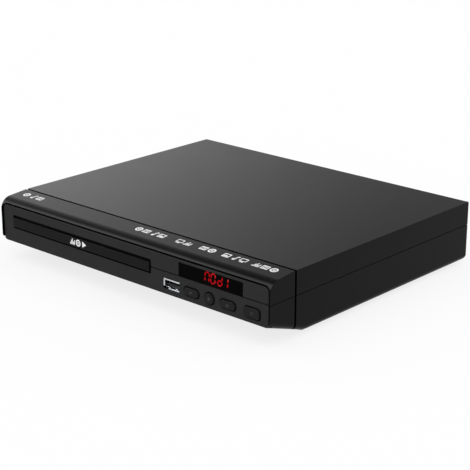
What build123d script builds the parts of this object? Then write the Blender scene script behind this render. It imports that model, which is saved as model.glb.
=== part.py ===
from build123d import *
import math
import os

# Disc player with a sliding tray. Millimetres; +Z up, the front faces -Y, and the origin is the middle
# of the footprint on the floor. Depths are counted from the front of the body, heights from the floor.

# Disc and tray
disc_diameter = 120.0
small_disc_diameter = 80.0
pocket_clearance = 1.0
tray_rim_width = 3.0
tray_side_gap = 1.65
tray_front_land = 4.7
tray_tail = 26.0
tray_corner_radius = 3.0
tray_thickness = 5.0
pocket_depth = 2.4
small_pocket_depth = 1.0
tray_lift = 0.6
tray_top_gap = 1.6
tray_slot_margin = 3.0
tray_clear_out = 2.0
tray_slot_widening = 2.0
tray_neck_half = 9.0

# Tray door
door_proud = 0.8
door_front_thickness = 2.0
door_flange_thickness = 1.2
door_side_groove = 0.8
door_top_groove = 1.7
door_bottom_groove = 1.2
door_flange_gap = 0.4
door_edge_radius = 0.3

# How far a cutting form reaches past what it cuts, and how far a form that grows from another starts in it
past = 1.0
root = 0.5

# Shells
wall = 2.2
lip_thickness = 1.0
lip_length = 3.6
parting_lip = 1.6
fit_gap = 0.1
seam_groove = 1.7
parting_groove = 0.4
face_line_width = 0.6
groove_depth = 0.5
parting_under_lid = 15.7
foot_height = 2.2
rear_bay = 37.0
bezel_depth = 22.8
bezel_fall = 1.85
brow_radius = 8.0
undercut_height = 11.1
undercut_length = 33.0
undercut_blend = 20.0
bottom_edge_radius = 4.0
top_clearance = 4.1

# Face plate
face_recess = 0.9
face_thickness = 2.4
face_rim = 0.6
face_groove = 0.9
face_top_drop = 5.2
face_top_radius = 3.2
face_bottom_radius = 1.6
ledge_thickness = 2.0
ledge_width = 3.4
ledge_top_width = 0.7
ledge_bottom_rise = 0.6

# Screws: shank radius of every screw, with its head
screw_radius = 1.4
screw_head_radius = 2.7
screw_head_height = 1.8
screw_clearance = 0.06
screw_hole_spare = 0.3
head_hole_gap = 0.3
boss_diameter = 7.2
boss_gap = 0.35
boss_sink = 0.5
boss_front_setback = 34.0
boss_rear_setback = 10.0
lower_boss_height = 4.8
case_screw_length = 17.0
case_seat_drop = 0.2
board_screw_length = 5.0
loader_screw_length = 4.0

# Loader
loader_wall = 2.6
rail_gap = 0.6
loader_setback = 8.0
tray_rear_gap = 6.4
base_standoff = 1.6
base_thickness = 1.6
base_front_margin = 5.0
base_opening_margin = 7.4
ledge_reach = 3.0
ledge_height = 2.0
running_gap = 0.2
lug_length = 6.0
lug_height_gap = 0.3
lug_end_gap = 1.0
rail_end_gap = 2.0
loader_case_gap = 0.3
loader_screw_inset = 9.2
loader_screw_front_gap = 20.0
loader_screw_rear_inset = 15.0
hinge_block_reach = 4.0
cam_guide_gap = 0.4
cam_guide_thickness = 1.6
cam_guide_height = 2.0
cam_guide_margin = 4.0
gear_floor_overhang = 3.4
gear_floor_rear_gap = 12.0
gear_floor_wall = 2.0

# Clamper and its bridge
clamper_gap = 0.6
clamper_radius = 15.5
clamper_neck_radius = 12.6
clamper_disc_height = 1.9
clamper_cap_height = 1.8
clamper_play = 0.4
clamper_dish_depth = 0.8
clamper_dish_rim = 2.0
bridge_thickness = 1.2
bridge_length = 40.0
bridge_corner_radius = 3.0
bridge_rib_margin = 10.0
bridge_rib_width = 6.0
bridge_rib_height = 1.0

# Deck with the spindle and the pickup
disc_lift = 1.0
turntable_radius = 15.0
turntable_thickness = 4.6
turntable_gap = 0.6
hub_radius = 7.4
hub_height = 2.2
hub_taper = 1.2
turntable_floor = 1.2
turntable_rim = 1.4
turntable_waist = 4.0
ring_height = 0.4
ring_width = 2.5
spindle_radius = 1.0
spindle_motor_radius = 12.0
spindle_motor_height = 7.5
spindle_motor_edge_radius = 1.2
spindle_sink = 2.0
shaft_fit = 0.05
deck_thickness = 1.5
deck_half_width = 34.0
deck_front_reach = 21.0
deck_rear_land = 10.0
deck_tilt_deg = 4.5
deck_clearance = 2.4
hinge_inset = 4.0
hinge_pin_radius = 2.0
hinge_pin_length = 4.6
hinge_side_gap = 0.6
cam_pin_radius = 1.5
cam_pin_spread = 18.0
cam_pin_rise = 4.6
cam_slot_clearance = 0.4
cam_travel = 12.0
cam_thickness = 3.0
cam_half_width = 30.0
cam_gap_to_deck = 4.0
cam_edge = 1.5
deck_lip_thickness = 1.5
deck_lip_inset = 6.0
deck_lip_margin = 2.2
deck_window_inset = 5.0
deck_window_gap = 4.0
hinge_ear = 3.0
cam_pin_proud = 0.3
cam_floor_gap = 0.6

# Pickup and its drive
pickup_inner_radius = 24.0
pickup_end_margin = 2.0
pickup_half_width = 24.0
pickup_height = 7.6
pickup_lift = 0.4
pickup_front_reach = 6.5
pickup_rear_reach = 19.5
lens_radius = 2.6
lens_height = 0.5
lens_edge_radius = 0.4
lens_well_depth = 1.5
lens_well_gap = 1.2
pickup_corner_radius = 2.0
follower_length = 8.0
follower_height = 3.0
rod_radius = 1.5
rod_spread = 20.0
rod_rise = 4.2
rod_support_width = 6.0
rod_support_length = 4.0
rod_support_top = 2.2
support_gap = 1.2
lead_screw_radius = 1.5
lead_screw_inset = 5.0
follower_gap = 0.3
sled_motor_radius = 4.1
sled_motor_length = 14.0
sled_foot_inset = 2.0
screw_support_half = 2.6
lead_screw_sink = 3.5
lead_screw_proud = 0.8

# Tray gearing: module in millimetres, counts of teeth
gear_module = 1.0
tray_gear_teeth = 14
pinion_teeth = 10
addendum_share = 0.7
dedendum_share = 1.1
tooth_share = 0.36
pressure_angle_deg = 20.0
rack_height = 2.0
rack_bar_width = 2.5
rack_inset = 5.5
rack_end_gap = 1.0
rack_lead_teeth = 2
tray_gear_setback = 16.0
gear_line_deg = 48.0
gear_pin_radius = 1.5
gear_floor_thickness = 1.6
gear_top_gap = 0.3
pulley_gap = 0.4
gear_overlap = 4.0
gear_shoulder_gap = 0.2
gear_shoulder_width = 0.7
pulley_radius = 9.4
pulley_height = 2.8
pulley_groove_depth = 1.5
motor_pulley_radius = 3.6
motor_shaft_radius = 1.0
belt_thickness = 1.2
belt_gap = 0.05
belt_groove_gap = 0.2
loading_motor_radius = 10.5
loading_motor_height = 8.0
loading_motor_setback = 50.0
loading_motor_inset = 11.1
motor_edge_radius = 1.0
motor_collar_height = 0.8
motor_collar_width = 1.2
motor_collar_gap = 0.2
motor_can_gap = 0.4
motor_shaft_sink = 3.0
motor_shaft_proud = 0.6

# Controls, left to right from the tray opening
usb_gap = 10.7
usb_width = 14.2
usb_height = 7.0
usb_drop = 3.1
usb_hole_gap = 0.3
usb_corner_radius = 0.5
button_row_gap = 16.8
button_pitch = 14.8
power_button_pitch = 19.2
control_right_margin = 14.0
button_row_drop = 3.55
pill_length = 12.0
pill_height = 5.0
round_button_diameter = 7.0
power_button_length = 11.3
power_button_height = 6.2
power_button_radius = 1.6
button_proud = 0.8
button_edge_radius = 0.35
button_hole_gap = 0.7
button_flange = 1.1
button_flange_thickness = 1.2
button_play = 0.2
button_stem_radius = 1.8
button_travel = 0.5
window_gap = 23.9
window_width = 52.0
window_height = 9.0
window_rise = 4.3
window_fit = 0.1
window_corner_radius = 0.5
window_flange = 0.8
window_flange_thickness = 1.0
control_board_setback = 12.0
board_thickness = 1.6
control_board_side = 6.0
control_post_gap = 3.2
control_post_drop = 3.6
control_post_radius = 1.9
control_screw_radius = 0.9
control_screw_head_radius = 1.8
control_screw_head_height = 1.2
control_screw_grip = 4.0
control_board_low = 2.6
control_board_high = 0.9
switch_side = 6.0
switch_depth = 3.5
switch_plunger_radius = 1.7
switch_plunger_depth = 0.9
led_depth = 7.2
led_side_margin = 1.6
led_edge_margin = 0.6
led_length = 38.0
receiver_width = 6.0
receiver_height = 7.0
receiver_depth = 5.0
receiver_gap = 2.0
receiver_dome_radius = 2.0
socket_shell = 0.4
socket_floor = 1.0
usb_tongue_width = 11.1
usb_tongue_thickness = 1.9
tongue_setback = 1.6

# Boards in the body
board_gap = 8.0
board_standoff = 4.8
board_boss_radius = 3.0
board_inset = 5.0
decoder_board_front = 38.0
decoder_board_length = 72.0
power_board_gap = 8.0
power_board_rear_gap = 8.0
av_board_inset = 5.0
av_board_front_gap = 3.0
av_board_rear_gap = 2.5

# Parts on the boards
main_chip_side = 20.0
main_chip_height = 2.2
memory_chip_length = 18.0
memory_chip_width = 10.0
driver_chip_width = 8.0
small_chip_height = 1.6
regulator_length = 14.0
regulator_width = 6.0
regulator_height = 3.0
sink_side = 22.0
sink_base = 1.6
sink_fin = 1.2
sink_fin_count = 7
sink_height = 9.0
core_width = 30.0
core_length = 24.0
core_height = 20.0
coil_width = 22.0
coil_length = 32.0
coil_height = 12.0
coil_corner_radius = 3.0
main_can_radius = 8.0
main_can_height = 22.0
small_can_radius = 5.0
small_can_height = 14.0
mini_can_radius = 4.0
mini_can_height = 10.0
can_edge_radius = 0.6
fuse_length = 18.0
fuse_radius = 2.5
fuse_cap_length = 4.0
fuse_cap_radius = 2.8
fuse_rise = 3.6
fuse_gap = 22.0
fuse_rear_gap = 14.0
ribbon_width = 12.0
ribbon_thickness = 0.4
ribbon_bend_radius = 3.0
ribbon_plug_depth = 4.0
ribbon_plug_height = 6.2
ribbon_plug_setback = 10.0
plug_margin = 1.0
lead_radius = 1.3
lead_bend_radius = 6.0
lead_rise = 4.0
lead_plug_length = 9.0

# Rear panel and its sockets
panel_thickness = 1.2
panel_margin = 10.0
panel_window_margin = 13.0
panel_window_drop = 5.5
panel_overlap = 1.6
panel_rib_inset = 12.0
panel_rib_width = 8.0
panel_rib_thickness = 2.0
jack_pitch = 14.0
jack_radius = 4.15
jack_neck_radius = 3.8
jack_reach = 8.0
jack_rise = 9.2
jack_hole_gap = 0.4
jack_wall = 0.45
jack_shoulder = 0.5
jack_insert_drop = 1.0
jack_hole_depth = 9.0
jack_insert_radius = 1.7
jack_block_depth = 11.0
jack_block_side = 7.0
jack_block_back = 2.0
jack_block_margin = 3.6
panel_screw_rise = 5.0
panel_screw_length = 8.0
jack_first_inset = 26.0
hdmi_width = 15.0
hdmi_height = 5.6
hdmi_gap = 30.0
hdmi_depth = 12.0
hdmi_chamfer = 1.6
hdmi_tongue_inset = 2.0
hdmi_tongue_thickness = 1.2
hdmi_tongue_drop = 0.2
inlet_width = 25.0
inlet_height = 17.0
inlet_depth = 18.0
inlet_wall = 2.8
inlet_corner_radius = 2.0
inlet_drop = 0.2
inlet_ear = 2.0
inlet_ear_height = 8.0
inlet_foot_inset = 6.0
inlet_cavity_depth = 12.0
inlet_pin_radius = 1.15
inlet_pin_edge_radius = 0.6
inlet_pin_spacing = 8.6
inlet_pin_length = 9.0
inlet_margin = 16.0
inlet_rise = 2.2

# Feet and vents
foot_radius = 7.0
foot_recess = 0.8
foot_chamfer = 0.8
foot_side_inset = 20.0
foot_front_setback = 44.0
foot_rear_setback = 22.0
vent_count = 9
vent_pitch = 6.0
vent_width = 2.4
vent_length = 26.0

# Worked out sizes: across
pocket_radius = disc_diameter / 2 + pocket_clearance
tray_width = 2 * (pocket_radius + tray_rim_width)
door_opening_width = tray_width + 2 * tray_side_gap
door_margin = wall + boss_diameter + boss_gap + loader_wall + rail_gap - tray_side_gap
control_bay_width = (usb_gap + usb_width / 2 + button_row_gap + 2 * button_pitch
                     + power_button_pitch + control_right_margin)
body_width = door_margin + door_opening_width + control_bay_width
left_x = -body_width / 2
tray_x = left_x + door_margin + door_opening_width / 2
door_right_x = tray_x + door_opening_width / 2
loader_half = tray_width / 2 + rail_gap + loader_wall
rail_half = tray_width / 2 + rail_gap
usb_x = door_right_x + usb_gap + usb_width / 2
play_x = usb_x + button_row_gap
stop_x = play_x + button_pitch
eject_x = stop_x + button_pitch
power_x = eject_x + power_button_pitch
window_x = door_right_x + window_gap + window_width / 2
lead_screw_offset = deck_half_width - lead_screw_inset

# Worked out sizes: depths from the front
face_back = face_recess + face_thickness
button_front = face_recess - button_proud
door_front = face_recess - door_proud
door_mid = door_front + door_front_thickness
tray_front = door_mid + door_flange_thickness
disc_depth = tray_front + tray_front_land + pocket_radius
tray_rear = disc_depth + pocket_radius + tray_tail
pickup_travel = disc_diameter / 2 - pickup_inner_radius - pickup_end_margin
tray_travel = disc_depth + pocket_radius + tray_clear_out
loader_rear = tray_rear + tray_rear_gap + loader_wall
body_depth = loader_rear + rear_bay
deck_front = disc_depth - deck_front_reach
pickup_rear_limit = disc_depth + pickup_inner_radius + pickup_travel + pickup_rear_reach
deck_rear = pickup_rear_limit + deck_rear_land
hinge_depth = deck_rear - hinge_inset
cam_back = deck_front - cam_gap_to_deck
base_front_depth = cam_back - cam_thickness - base_front_margin
front_y = -(body_depth + jack_reach) / 2
rear_y = front_y + body_depth

# Worked out sizes: heights. The lid, the clamper, the tray and the deck stack up on the floor of the case.
deck_reach = hinge_depth - deck_front
deck_drop = deck_reach * math.sin(math.radians(deck_tilt_deg))
floor_z = foot_height + wall
deck_z = floor_z + deck_clearance + deck_drop
deck_top_z = deck_z + deck_thickness
turntable_z = deck_top_z + spindle_motor_height + turntable_gap
platter_z = turntable_z + turntable_thickness
pocket_z = platter_z - disc_lift
small_pocket_z = pocket_z - small_pocket_depth
tray_top_z = pocket_z + pocket_depth
tray_z = tray_top_z - tray_thickness
rack_z = tray_z - rack_height
door_low_z = rack_z - tray_lift
door_high_z = tray_top_z + tray_top_gap
clamper_z = tray_top_z + clamper_gap
bridge_z = clamper_z + clamper_disc_height + clamper_play
bridge_top_z = bridge_z + bridge_thickness
clamper_cap_z = bridge_top_z + clamper_play
lid_z = clamper_cap_z + clamper_cap_height + top_clearance
body_height = lid_z + wall
parting_z = body_height - parting_under_lid
base_z = floor_z + base_standoff
base_top_z = base_z + base_thickness
face_top_z = body_height - face_top_drop
face_half = body_width / 2 - face_rim - face_groove
usb_z = door_low_z - usb_drop
button_z = door_low_z - button_row_drop
window_z = door_low_z + window_rise + window_height / 2
board_z = floor_z + board_standoff
board_top_z = board_z + board_thickness
hinge_z = deck_z + deck_thickness / 2
cam_pin_z = hinge_z + cam_pin_rise
rod_z = deck_top_z + rod_rise
jack_z = board_top_z + jack_rise
undercut_z = foot_height + undercut_height

# Worked out sizes: gearing
gear_radius = gear_module * tray_gear_teeth / 2
pinion_radius = gear_module * pinion_teeth / 2
tooth_pitch = math.pi * gear_module
addendum = addendum_share * gear_module
dedendum = dedendum_share * gear_module
rack_root_x = tray_x - tray_width / 2 + rack_inset + rack_bar_width
tray_gear_x = rack_root_x + dedendum + gear_radius
pulley_x = tray_gear_x + (gear_radius + pinion_radius) * math.cos(math.radians(gear_line_deg))
pulley_setback = tray_gear_setback + (gear_radius + pinion_radius) * math.sin(math.radians(gear_line_deg))
gear_top_z = tray_z - gear_top_gap
gear_z = rack_z - gear_overlap
pulley_z = gear_z - pulley_gap - pulley_height
gear_floor_z = pulley_z - pulley_gap - gear_floor_thickness
gear_floor_top_z = gear_floor_z + gear_floor_thickness
loading_motor_x = tray_x - tray_width / 2 + loading_motor_inset
belt_z = pulley_z + pulley_height / 2


def at(depth):
    return front_y + depth


def block(x0, x1, depth0, depth1, z0, z1):
    middle = Pos((x0 + x1) / 2, at((depth0 + depth1) / 2), (z0 + z1) / 2)
    return middle * Box(x1 - x0, depth1 - depth0, z1 - z0)


def post(x, depth, z0, z1, radius):
    return Pos(x, at(depth), (z0 + z1) / 2) * Cylinder(radius, z1 - z0)


def rod_along_depth(x, z, depth0, depth1, radius):
    return Pos(x, at((depth0 + depth1) / 2), z) * Rot(90, 0, 0) * Cylinder(radius, depth1 - depth0)


def rod_across(x0, x1, depth, z, radius):
    return Pos((x0 + x1) / 2, at(depth), z) * Rot(0, 90, 0) * Cylinder(radius, x1 - x0)


def front_outline(sketch, x, z, depth0, depth1):
    # A sketch in XZ, drawn about (x, z), taken from one depth back to another.
    plane = Plane(origin=(x, at(depth0), z), x_dir=(1, 0, 0), z_dir=(0, -1, 0))
    return extrude(plane * sketch, amount=-(depth1 - depth0))


def side_outline(sketch, x0, x1):
    # A sketch in (y, z) taken across from x0 to x1.
    return extrude(Plane.YZ.offset(x0) * sketch, amount=x1 - x0)


def flat_outline(sketch, z0, z1):
    return extrude(Plane.XY.offset(z0) * sketch, amount=z1 - z0)


def inset_corners(corners, inset):
    # Moves every side of a counter-clockwise polygon inwards and gives the new corners.
    count = len(corners)
    lines = []
    for i in range(count):
        (ax, ay), (bx, by) = corners[i], corners[(i + 1) % count]
        length = math.hypot(bx - ax, by - ay)
        normal = (-(by - ay) / length, (bx - ax) / length)
        lines.append((normal, normal[0] * ax + normal[1] * ay + inset))
    moved = []
    for i in range(count):
        (n1, d1), (n2, d2) = lines[i - 1], lines[i]
        cross = n1[0] * n2[1] - n1[1] * n2[0]
        moved.append(((d1 * n2[1] - d2 * n1[1]) / cross, (n1[0] * d2 - n2[0] * d1) / cross))
    return moved


def body_form(inset):
    # The whole outer shape of the closed body, or the same shape drawn in by an even wall.
    corners = inset_corners([
        (at(0), undercut_z),
        (at(undercut_length), foot_height),
        (rear_y, foot_height),
        (rear_y, body_height),
        (at(bezel_depth), body_height),
        (at(0), body_height - bezel_fall),
    ], inset)
    brow = max(brow_radius - inset, 0)
    outline = make_face(FilletPolyline(*corners, radius=[0, undercut_blend, 0, 0, 0, brow], close=True))
    half = body_width / 2 - inset
    form = side_outline(outline, -half, half)
    low_z = corners[0][1]
    back_y = corners[2][0]
    side_edges = [e for e in form.edges()
                  if abs(abs(e.center().X) - half) < 0.01 and e.center().Z < low_z - 0.1]
    back_edges = [e for e in form.edges()
                  if abs(e.center().X) < 0.01 and e.center().Y > back_y - 0.01 and e.center().Z < low_z]
    return fillet(side_edges + back_edges, bottom_edge_radius - inset)


def stadium(x0, y0, x1, y1, radius):
    # A slot outline with round ends about two points.
    length = math.hypot(x1 - x0, y1 - y0)
    angle = math.degrees(math.atan2(y1 - y0, x1 - x0))
    place = Pos((x0 + x1) / 2, (y0 + y1) / 2) * Rot(0, 0, angle)
    return place * (Rectangle(length, 2 * radius) + Pos(-length / 2, 0) * Circle(radius)
                    + Pos(length / 2, 0) * Circle(radius))


def screw(length):
    # Head above the origin, shank below it, with a cross recess in the head.
    head = Pos(0, 0, screw_head_height / 2) * Cylinder(screw_head_radius, screw_head_height)
    shank = Pos(0, 0, -length / 2) * Cylinder(screw_radius, length)
    slot_depth = screw_head_height * 0.5
    middle = Pos(0, 0, screw_head_height - slot_depth / 2)
    bar = middle * Box(screw_head_radius * 1.1, screw_radius / 2, slot_depth)
    return head + shank - bar - Rot(0, 0, 90) * bar


def gear_teeth(teeth, first_tooth_deg):
    # Straight-sided teeth about the origin; one tooth points along first_tooth_deg.
    radius = gear_module * teeth / 2
    half_tooth = tooth_share * tooth_pitch / 2
    slope = math.tan(math.radians(pressure_angle_deg))
    points = []
    for n in range(teeth):
        middle = math.radians(first_tooth_deg) + 2 * math.pi * n / teeth
        for side, reach in ((-1, -dedendum), (-1, addendum), (1, addendum), (1, -dedendum)):
            half = (half_tooth - reach * slope) * side
            angle = middle + half / radius
            points.append(((radius + reach) * math.cos(angle), (radius + reach) * math.sin(angle)))
    return make_face(Polyline(*points, close=True))


# Case

body_outside = body_form(0)
body_middle = body_form(wall - lip_thickness)
body_inside = body_form(wall)
far = body_depth + body_width


def body_slab(depth0, depth1, z0, z1):
    return block(-far, far, depth0, depth1, z0, z1)


boss_x = body_width / 2 - wall - boss_diameter / 2 + boss_sink
boss_places = [(side * boss_x, depth) for side in (-1, 1)
               for depth in (boss_front_setback, body_depth - boss_rear_setback)]
lower_boss_z = floor_z + lower_boss_height
case_seat_z = floor_z - case_seat_drop
panel_back = body_depth - wall
panel_front = panel_back - panel_thickness
panel_half = body_width / 2 - panel_margin
panel_low_z = floor_z + bottom_edge_radius - wall + fit_gap
panel_high_z = lid_z - panel_window_drop + panel_overlap
decoder_x = (tray_x + loader_half + board_gap, body_width / 2 - wall - boss_diameter - boss_gap * 2)
decoder_depth = (decoder_board_front, decoder_board_front + decoder_board_length)
power_depth = (decoder_depth[1] + power_board_gap, panel_front - power_board_rear_gap)
av_x = (tray_x - loader_half + av_board_inset, tray_x + loader_half - av_board_inset)
av_depth = (loader_rear + av_board_front_gap, panel_front - av_board_rear_gap)
jack_x = [av_x[0] + jack_first_inset + n * jack_pitch for n in range(3)]
hdmi_x = jack_x[2] + hdmi_gap
inlet_x = decoder_x[1] - inlet_margin
inlet_z = board_top_z + inlet_rise + inlet_height / 2


def board_bosses(x_range, depth_range):
    return [(x, depth) for x in (x_range[0] + board_inset, x_range[1] - board_inset)
            for depth in (depth_range[0] + board_inset, depth_range[1] - board_inset)]


all_board_bosses = (board_bosses(decoder_x, decoder_depth) + board_bosses(decoder_x, power_depth)
                    + board_bosses(av_x, av_depth))
loader_screw_places = [(tray_x + side * (loader_half - loader_screw_inset), depth) for side in (-1, 1)
                       for depth in (loading_motor_setback + loader_screw_front_gap,
                                     loader_rear - loader_screw_rear_inset)]
foot_places = [(side * (body_width / 2 - foot_side_inset), depth) for side in (-1, 1)
               for depth in (foot_front_setback, body_depth - foot_rear_setback)]


def rear_window():
    half = body_width / 2 - panel_window_margin
    return block(-half, half, body_depth - wall - past, body_depth + past,
                 panel_low_z + panel_overlap, panel_high_z - panel_overlap)


def upper_case():
    shell = body_outside - body_inside
    shell &= body_slab(bezel_depth + seam_groove / 2, far, parting_z + parting_groove / 2, far)
    shell -= body_middle & body_slab(0, bezel_depth + lip_length + fit_gap, 0, far)
    shell -= body_middle & body_slab(0, far, 0, parting_z + parting_lip + fit_gap)
    # The bosses grow out of the wall, with a flat side where the lower half's wall passes them.
    wall_low_z = parting_z + parting_lip + fit_gap
    beside_lower_wall = body_form(wall + fit_gap)
    for x, depth in boss_places:
        shell += post(x, depth, lower_boss_z, wall_low_z, boss_diameter / 2) & beside_lower_wall
        shell += post(x, depth, wall_low_z, lid_z, boss_diameter / 2)
        shell -= post(x, depth, lower_boss_z - past, case_seat_z + case_screw_length + past,
                      screw_radius + screw_clearance)
    return shell - rear_window()


def lower_case():
    shell = body_outside - body_inside
    shell &= body_slab(bezel_depth + seam_groove / 2, far, 0, parting_z + parting_lip)
    shell -= (body_outside - body_middle) & body_slab(0, far, parting_z - parting_groove / 2, far)
    shell -= body_middle & body_slab(0, bezel_depth + lip_length + fit_gap, 0, far)
    for x, depth in boss_places:
        shell += post(x, depth, foot_height, lower_boss_z, boss_diameter / 2) & body_outside
        shell -= post(x, depth, 0, case_seat_z, screw_head_radius + head_hole_gap)
        shell -= post(x, depth, 0, lower_boss_z + past, screw_radius + screw_clearance)
    for x, depth in all_board_bosses:
        shell += post(x, depth, floor_z - root, board_z, board_boss_radius)
        shell -= post(x, depth, board_top_z - board_screw_length - screw_hole_spare, board_z + past,
                      screw_radius + screw_clearance)
    for x, depth in loader_screw_places:
        shell += post(x, depth, floor_z - root, base_z, board_boss_radius)
        shell -= post(x, depth, base_top_z - loader_screw_length - screw_hole_spare, base_z + past,
                      screw_radius + screw_clearance)
    for x, depth in foot_places:
        shell -= post(x, depth, 0, foot_height + foot_recess, foot_radius)
    vent_x = (decoder_x[0] + decoder_x[1]) / 2 - (vent_count - 1) * vent_pitch / 2
    vent_depth = (power_depth[0] + power_depth[1]) / 2
    for n in range(vent_count):
        x = vent_x + n * vent_pitch
        shell -= block(x - vent_width / 2, x + vent_width / 2, vent_depth - vent_length / 2,
                       vent_depth + vent_length / 2, 0, floor_z + past)
    for side in (-1, 1):
        x = side * (panel_half - panel_rib_inset)
        shell += block(x - panel_rib_width / 2, x + panel_rib_width / 2, panel_front - panel_rib_thickness,
                       panel_front, floor_z - root, panel_low_z + panel_overlap)
    return shell - rear_window()


def front_bezel():
    hollow = body_inside & body_slab(face_back + ledge_thickness, far, 0, far)
    shell = body_outside - hollow
    shell &= body_slab(-past, bezel_depth + lip_length, 0, far)
    shell -= (body_outside - body_middle) & body_slab(bezel_depth - seam_groove / 2, far, 0, far)
    half = body_width / 2 - face_rim
    pocket = block(-half, half, -past, face_back, 0, face_top_z + face_groove)
    top_edges = pocket.edges().filter_by(Axis.Y).group_by(Axis.Z)[-1]
    shell -= fillet(top_edges, face_top_radius + face_groove)
    for side in (-1, 1):
        skin = sorted([side * (body_width / 2 - groove_depth), side * (body_width / 2 + past)])
        shell -= block(skin[0], skin[1], -past, bezel_depth, parting_z - parting_groove / 2,
                       parting_z + parting_groove / 2)
    inner = half - face_groove - ledge_width
    return shell - block(-inner, inner, face_back - past, face_back + ledge_thickness + past,
                         undercut_z + ledge_bottom_rise, face_top_z - ledge_top_width)


def button_shape(name, grow):
    # The four key outlines in the face plate, each drawn about its own middle.
    if name in ("play_button", "eject_button"):
        return SlotOverall(pill_length + 2 * grow, pill_height + 2 * grow)
    if name == "stop_button":
        return Circle(round_button_diameter / 2 + grow)
    return RectangleRounded(power_button_length + 2 * grow, power_button_height + 2 * grow,
                            power_button_radius + grow)


button_x = {"play_button": play_x, "stop_button": stop_x, "eject_button": eject_x, "power_button": power_x}
control_left_x = usb_x - usb_width / 2 - control_post_gap
control_post_places = [(control_left_x, face_top_z - control_post_drop),
                       (power_x + power_button_length / 2, face_top_z - control_post_drop),
                       (control_left_x, usb_z), ((eject_x + power_x) / 2, button_z)]


def face_plate():
    plate = block(-face_half, face_half, face_recess, face_back, foot_height, face_top_z)
    plate = fillet(plate.edges().filter_by(Axis.Y).group_by(Axis.Z)[-1], face_top_radius)
    plate &= body_outside
    corners = [e for e in plate.edges() if abs(abs(e.center().X) - face_half) < 0.01
               and e.center().Z < undercut_z + bottom_edge_radius and abs(e.tangent_at(0.5).Y) > 0.9]
    plate = fillet(corners, face_bottom_radius)
    behind = face_back + past
    plate -= block(tray_x - door_opening_width / 2, door_right_x, 0, behind, door_low_z, door_high_z)
    window_hole = RectangleRounded(window_width + 2 * window_fit, window_height + 2 * window_fit,
                                   window_corner_radius + window_fit)
    plate -= front_outline(window_hole, window_x, window_z, 0, behind)
    usb_hole = RectangleRounded(usb_width, usb_height, usb_corner_radius + usb_hole_gap)
    plate -= front_outline(usb_hole, usb_x, usb_z, 0, behind)
    for name, x in button_x.items():
        plate -= front_outline(button_shape(name, button_hole_gap), x, button_z, 0, behind)
    plate -= block(door_right_x - past, face_half + past, 0, face_recess + groove_depth,
                   parting_z - face_line_width / 2, parting_z + face_line_width / 2)
    for x, z in control_post_places:
        plate += rod_along_depth(x, z, face_back, control_board_setback, control_post_radius)
        plate -= rod_along_depth(x, z, behind, control_board_setback + past,
                                 control_screw_radius + screw_clearance)
    return plate


def display_window():
    front = front_outline(RectangleRounded(window_width, window_height, window_corner_radius), window_x,
                          window_z, face_recess, face_back)
    flange = front_outline(Rectangle(window_width + 2 * window_flange, window_height + 2 * window_flange),
                           window_x, window_z, face_back, face_back + window_flange_thickness)
    return front + flange


def rear_panel():
    panel = block(-panel_half, panel_half, panel_front, panel_back, panel_low_z, panel_high_z)
    for x in jack_x:
        panel -= rod_along_depth(x, jack_z, panel_front - past, panel_back + past, jack_radius + jack_hole_gap)
    for x, z in panel_screw_places:
        panel -= rod_along_depth(x, z, panel_front - past, panel_back + past, screw_radius + screw_clearance)
    panel -= block(hdmi_x - hdmi_width / 2 - fit_gap, hdmi_x + hdmi_width / 2 + fit_gap, panel_front - past,
                   panel_back + past, board_top_z - fit_gap, board_top_z + hdmi_height + fit_gap)
    return panel - front_outline(inlet_outline(fit_gap), inlet_x, inlet_z, panel_front - past,
                                 panel_back + past)


def rubber_feet():
    feet = [post(x, depth, 0, foot_height + foot_recess, foot_radius) for x, depth in foot_places]
    feet = [chamfer(foot.faces().sort_by(Axis.Z)[0].edges(), foot_chamfer) for foot in feet]
    return Compound(feet)


def case_screws():
    return Compound([Pos(x, at(depth), case_seat_z) * Rot(180, 0, 0) * screw(case_screw_length)
                     for x, depth in boss_places])


# Loader

def hold_down_lugs():
    reach = (bridge_length - lug_length) / 2 - lug_end_gap
    return [(side, disc_depth + end * reach) for side in (-1, 1) for end in (-1, 1)]


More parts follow.
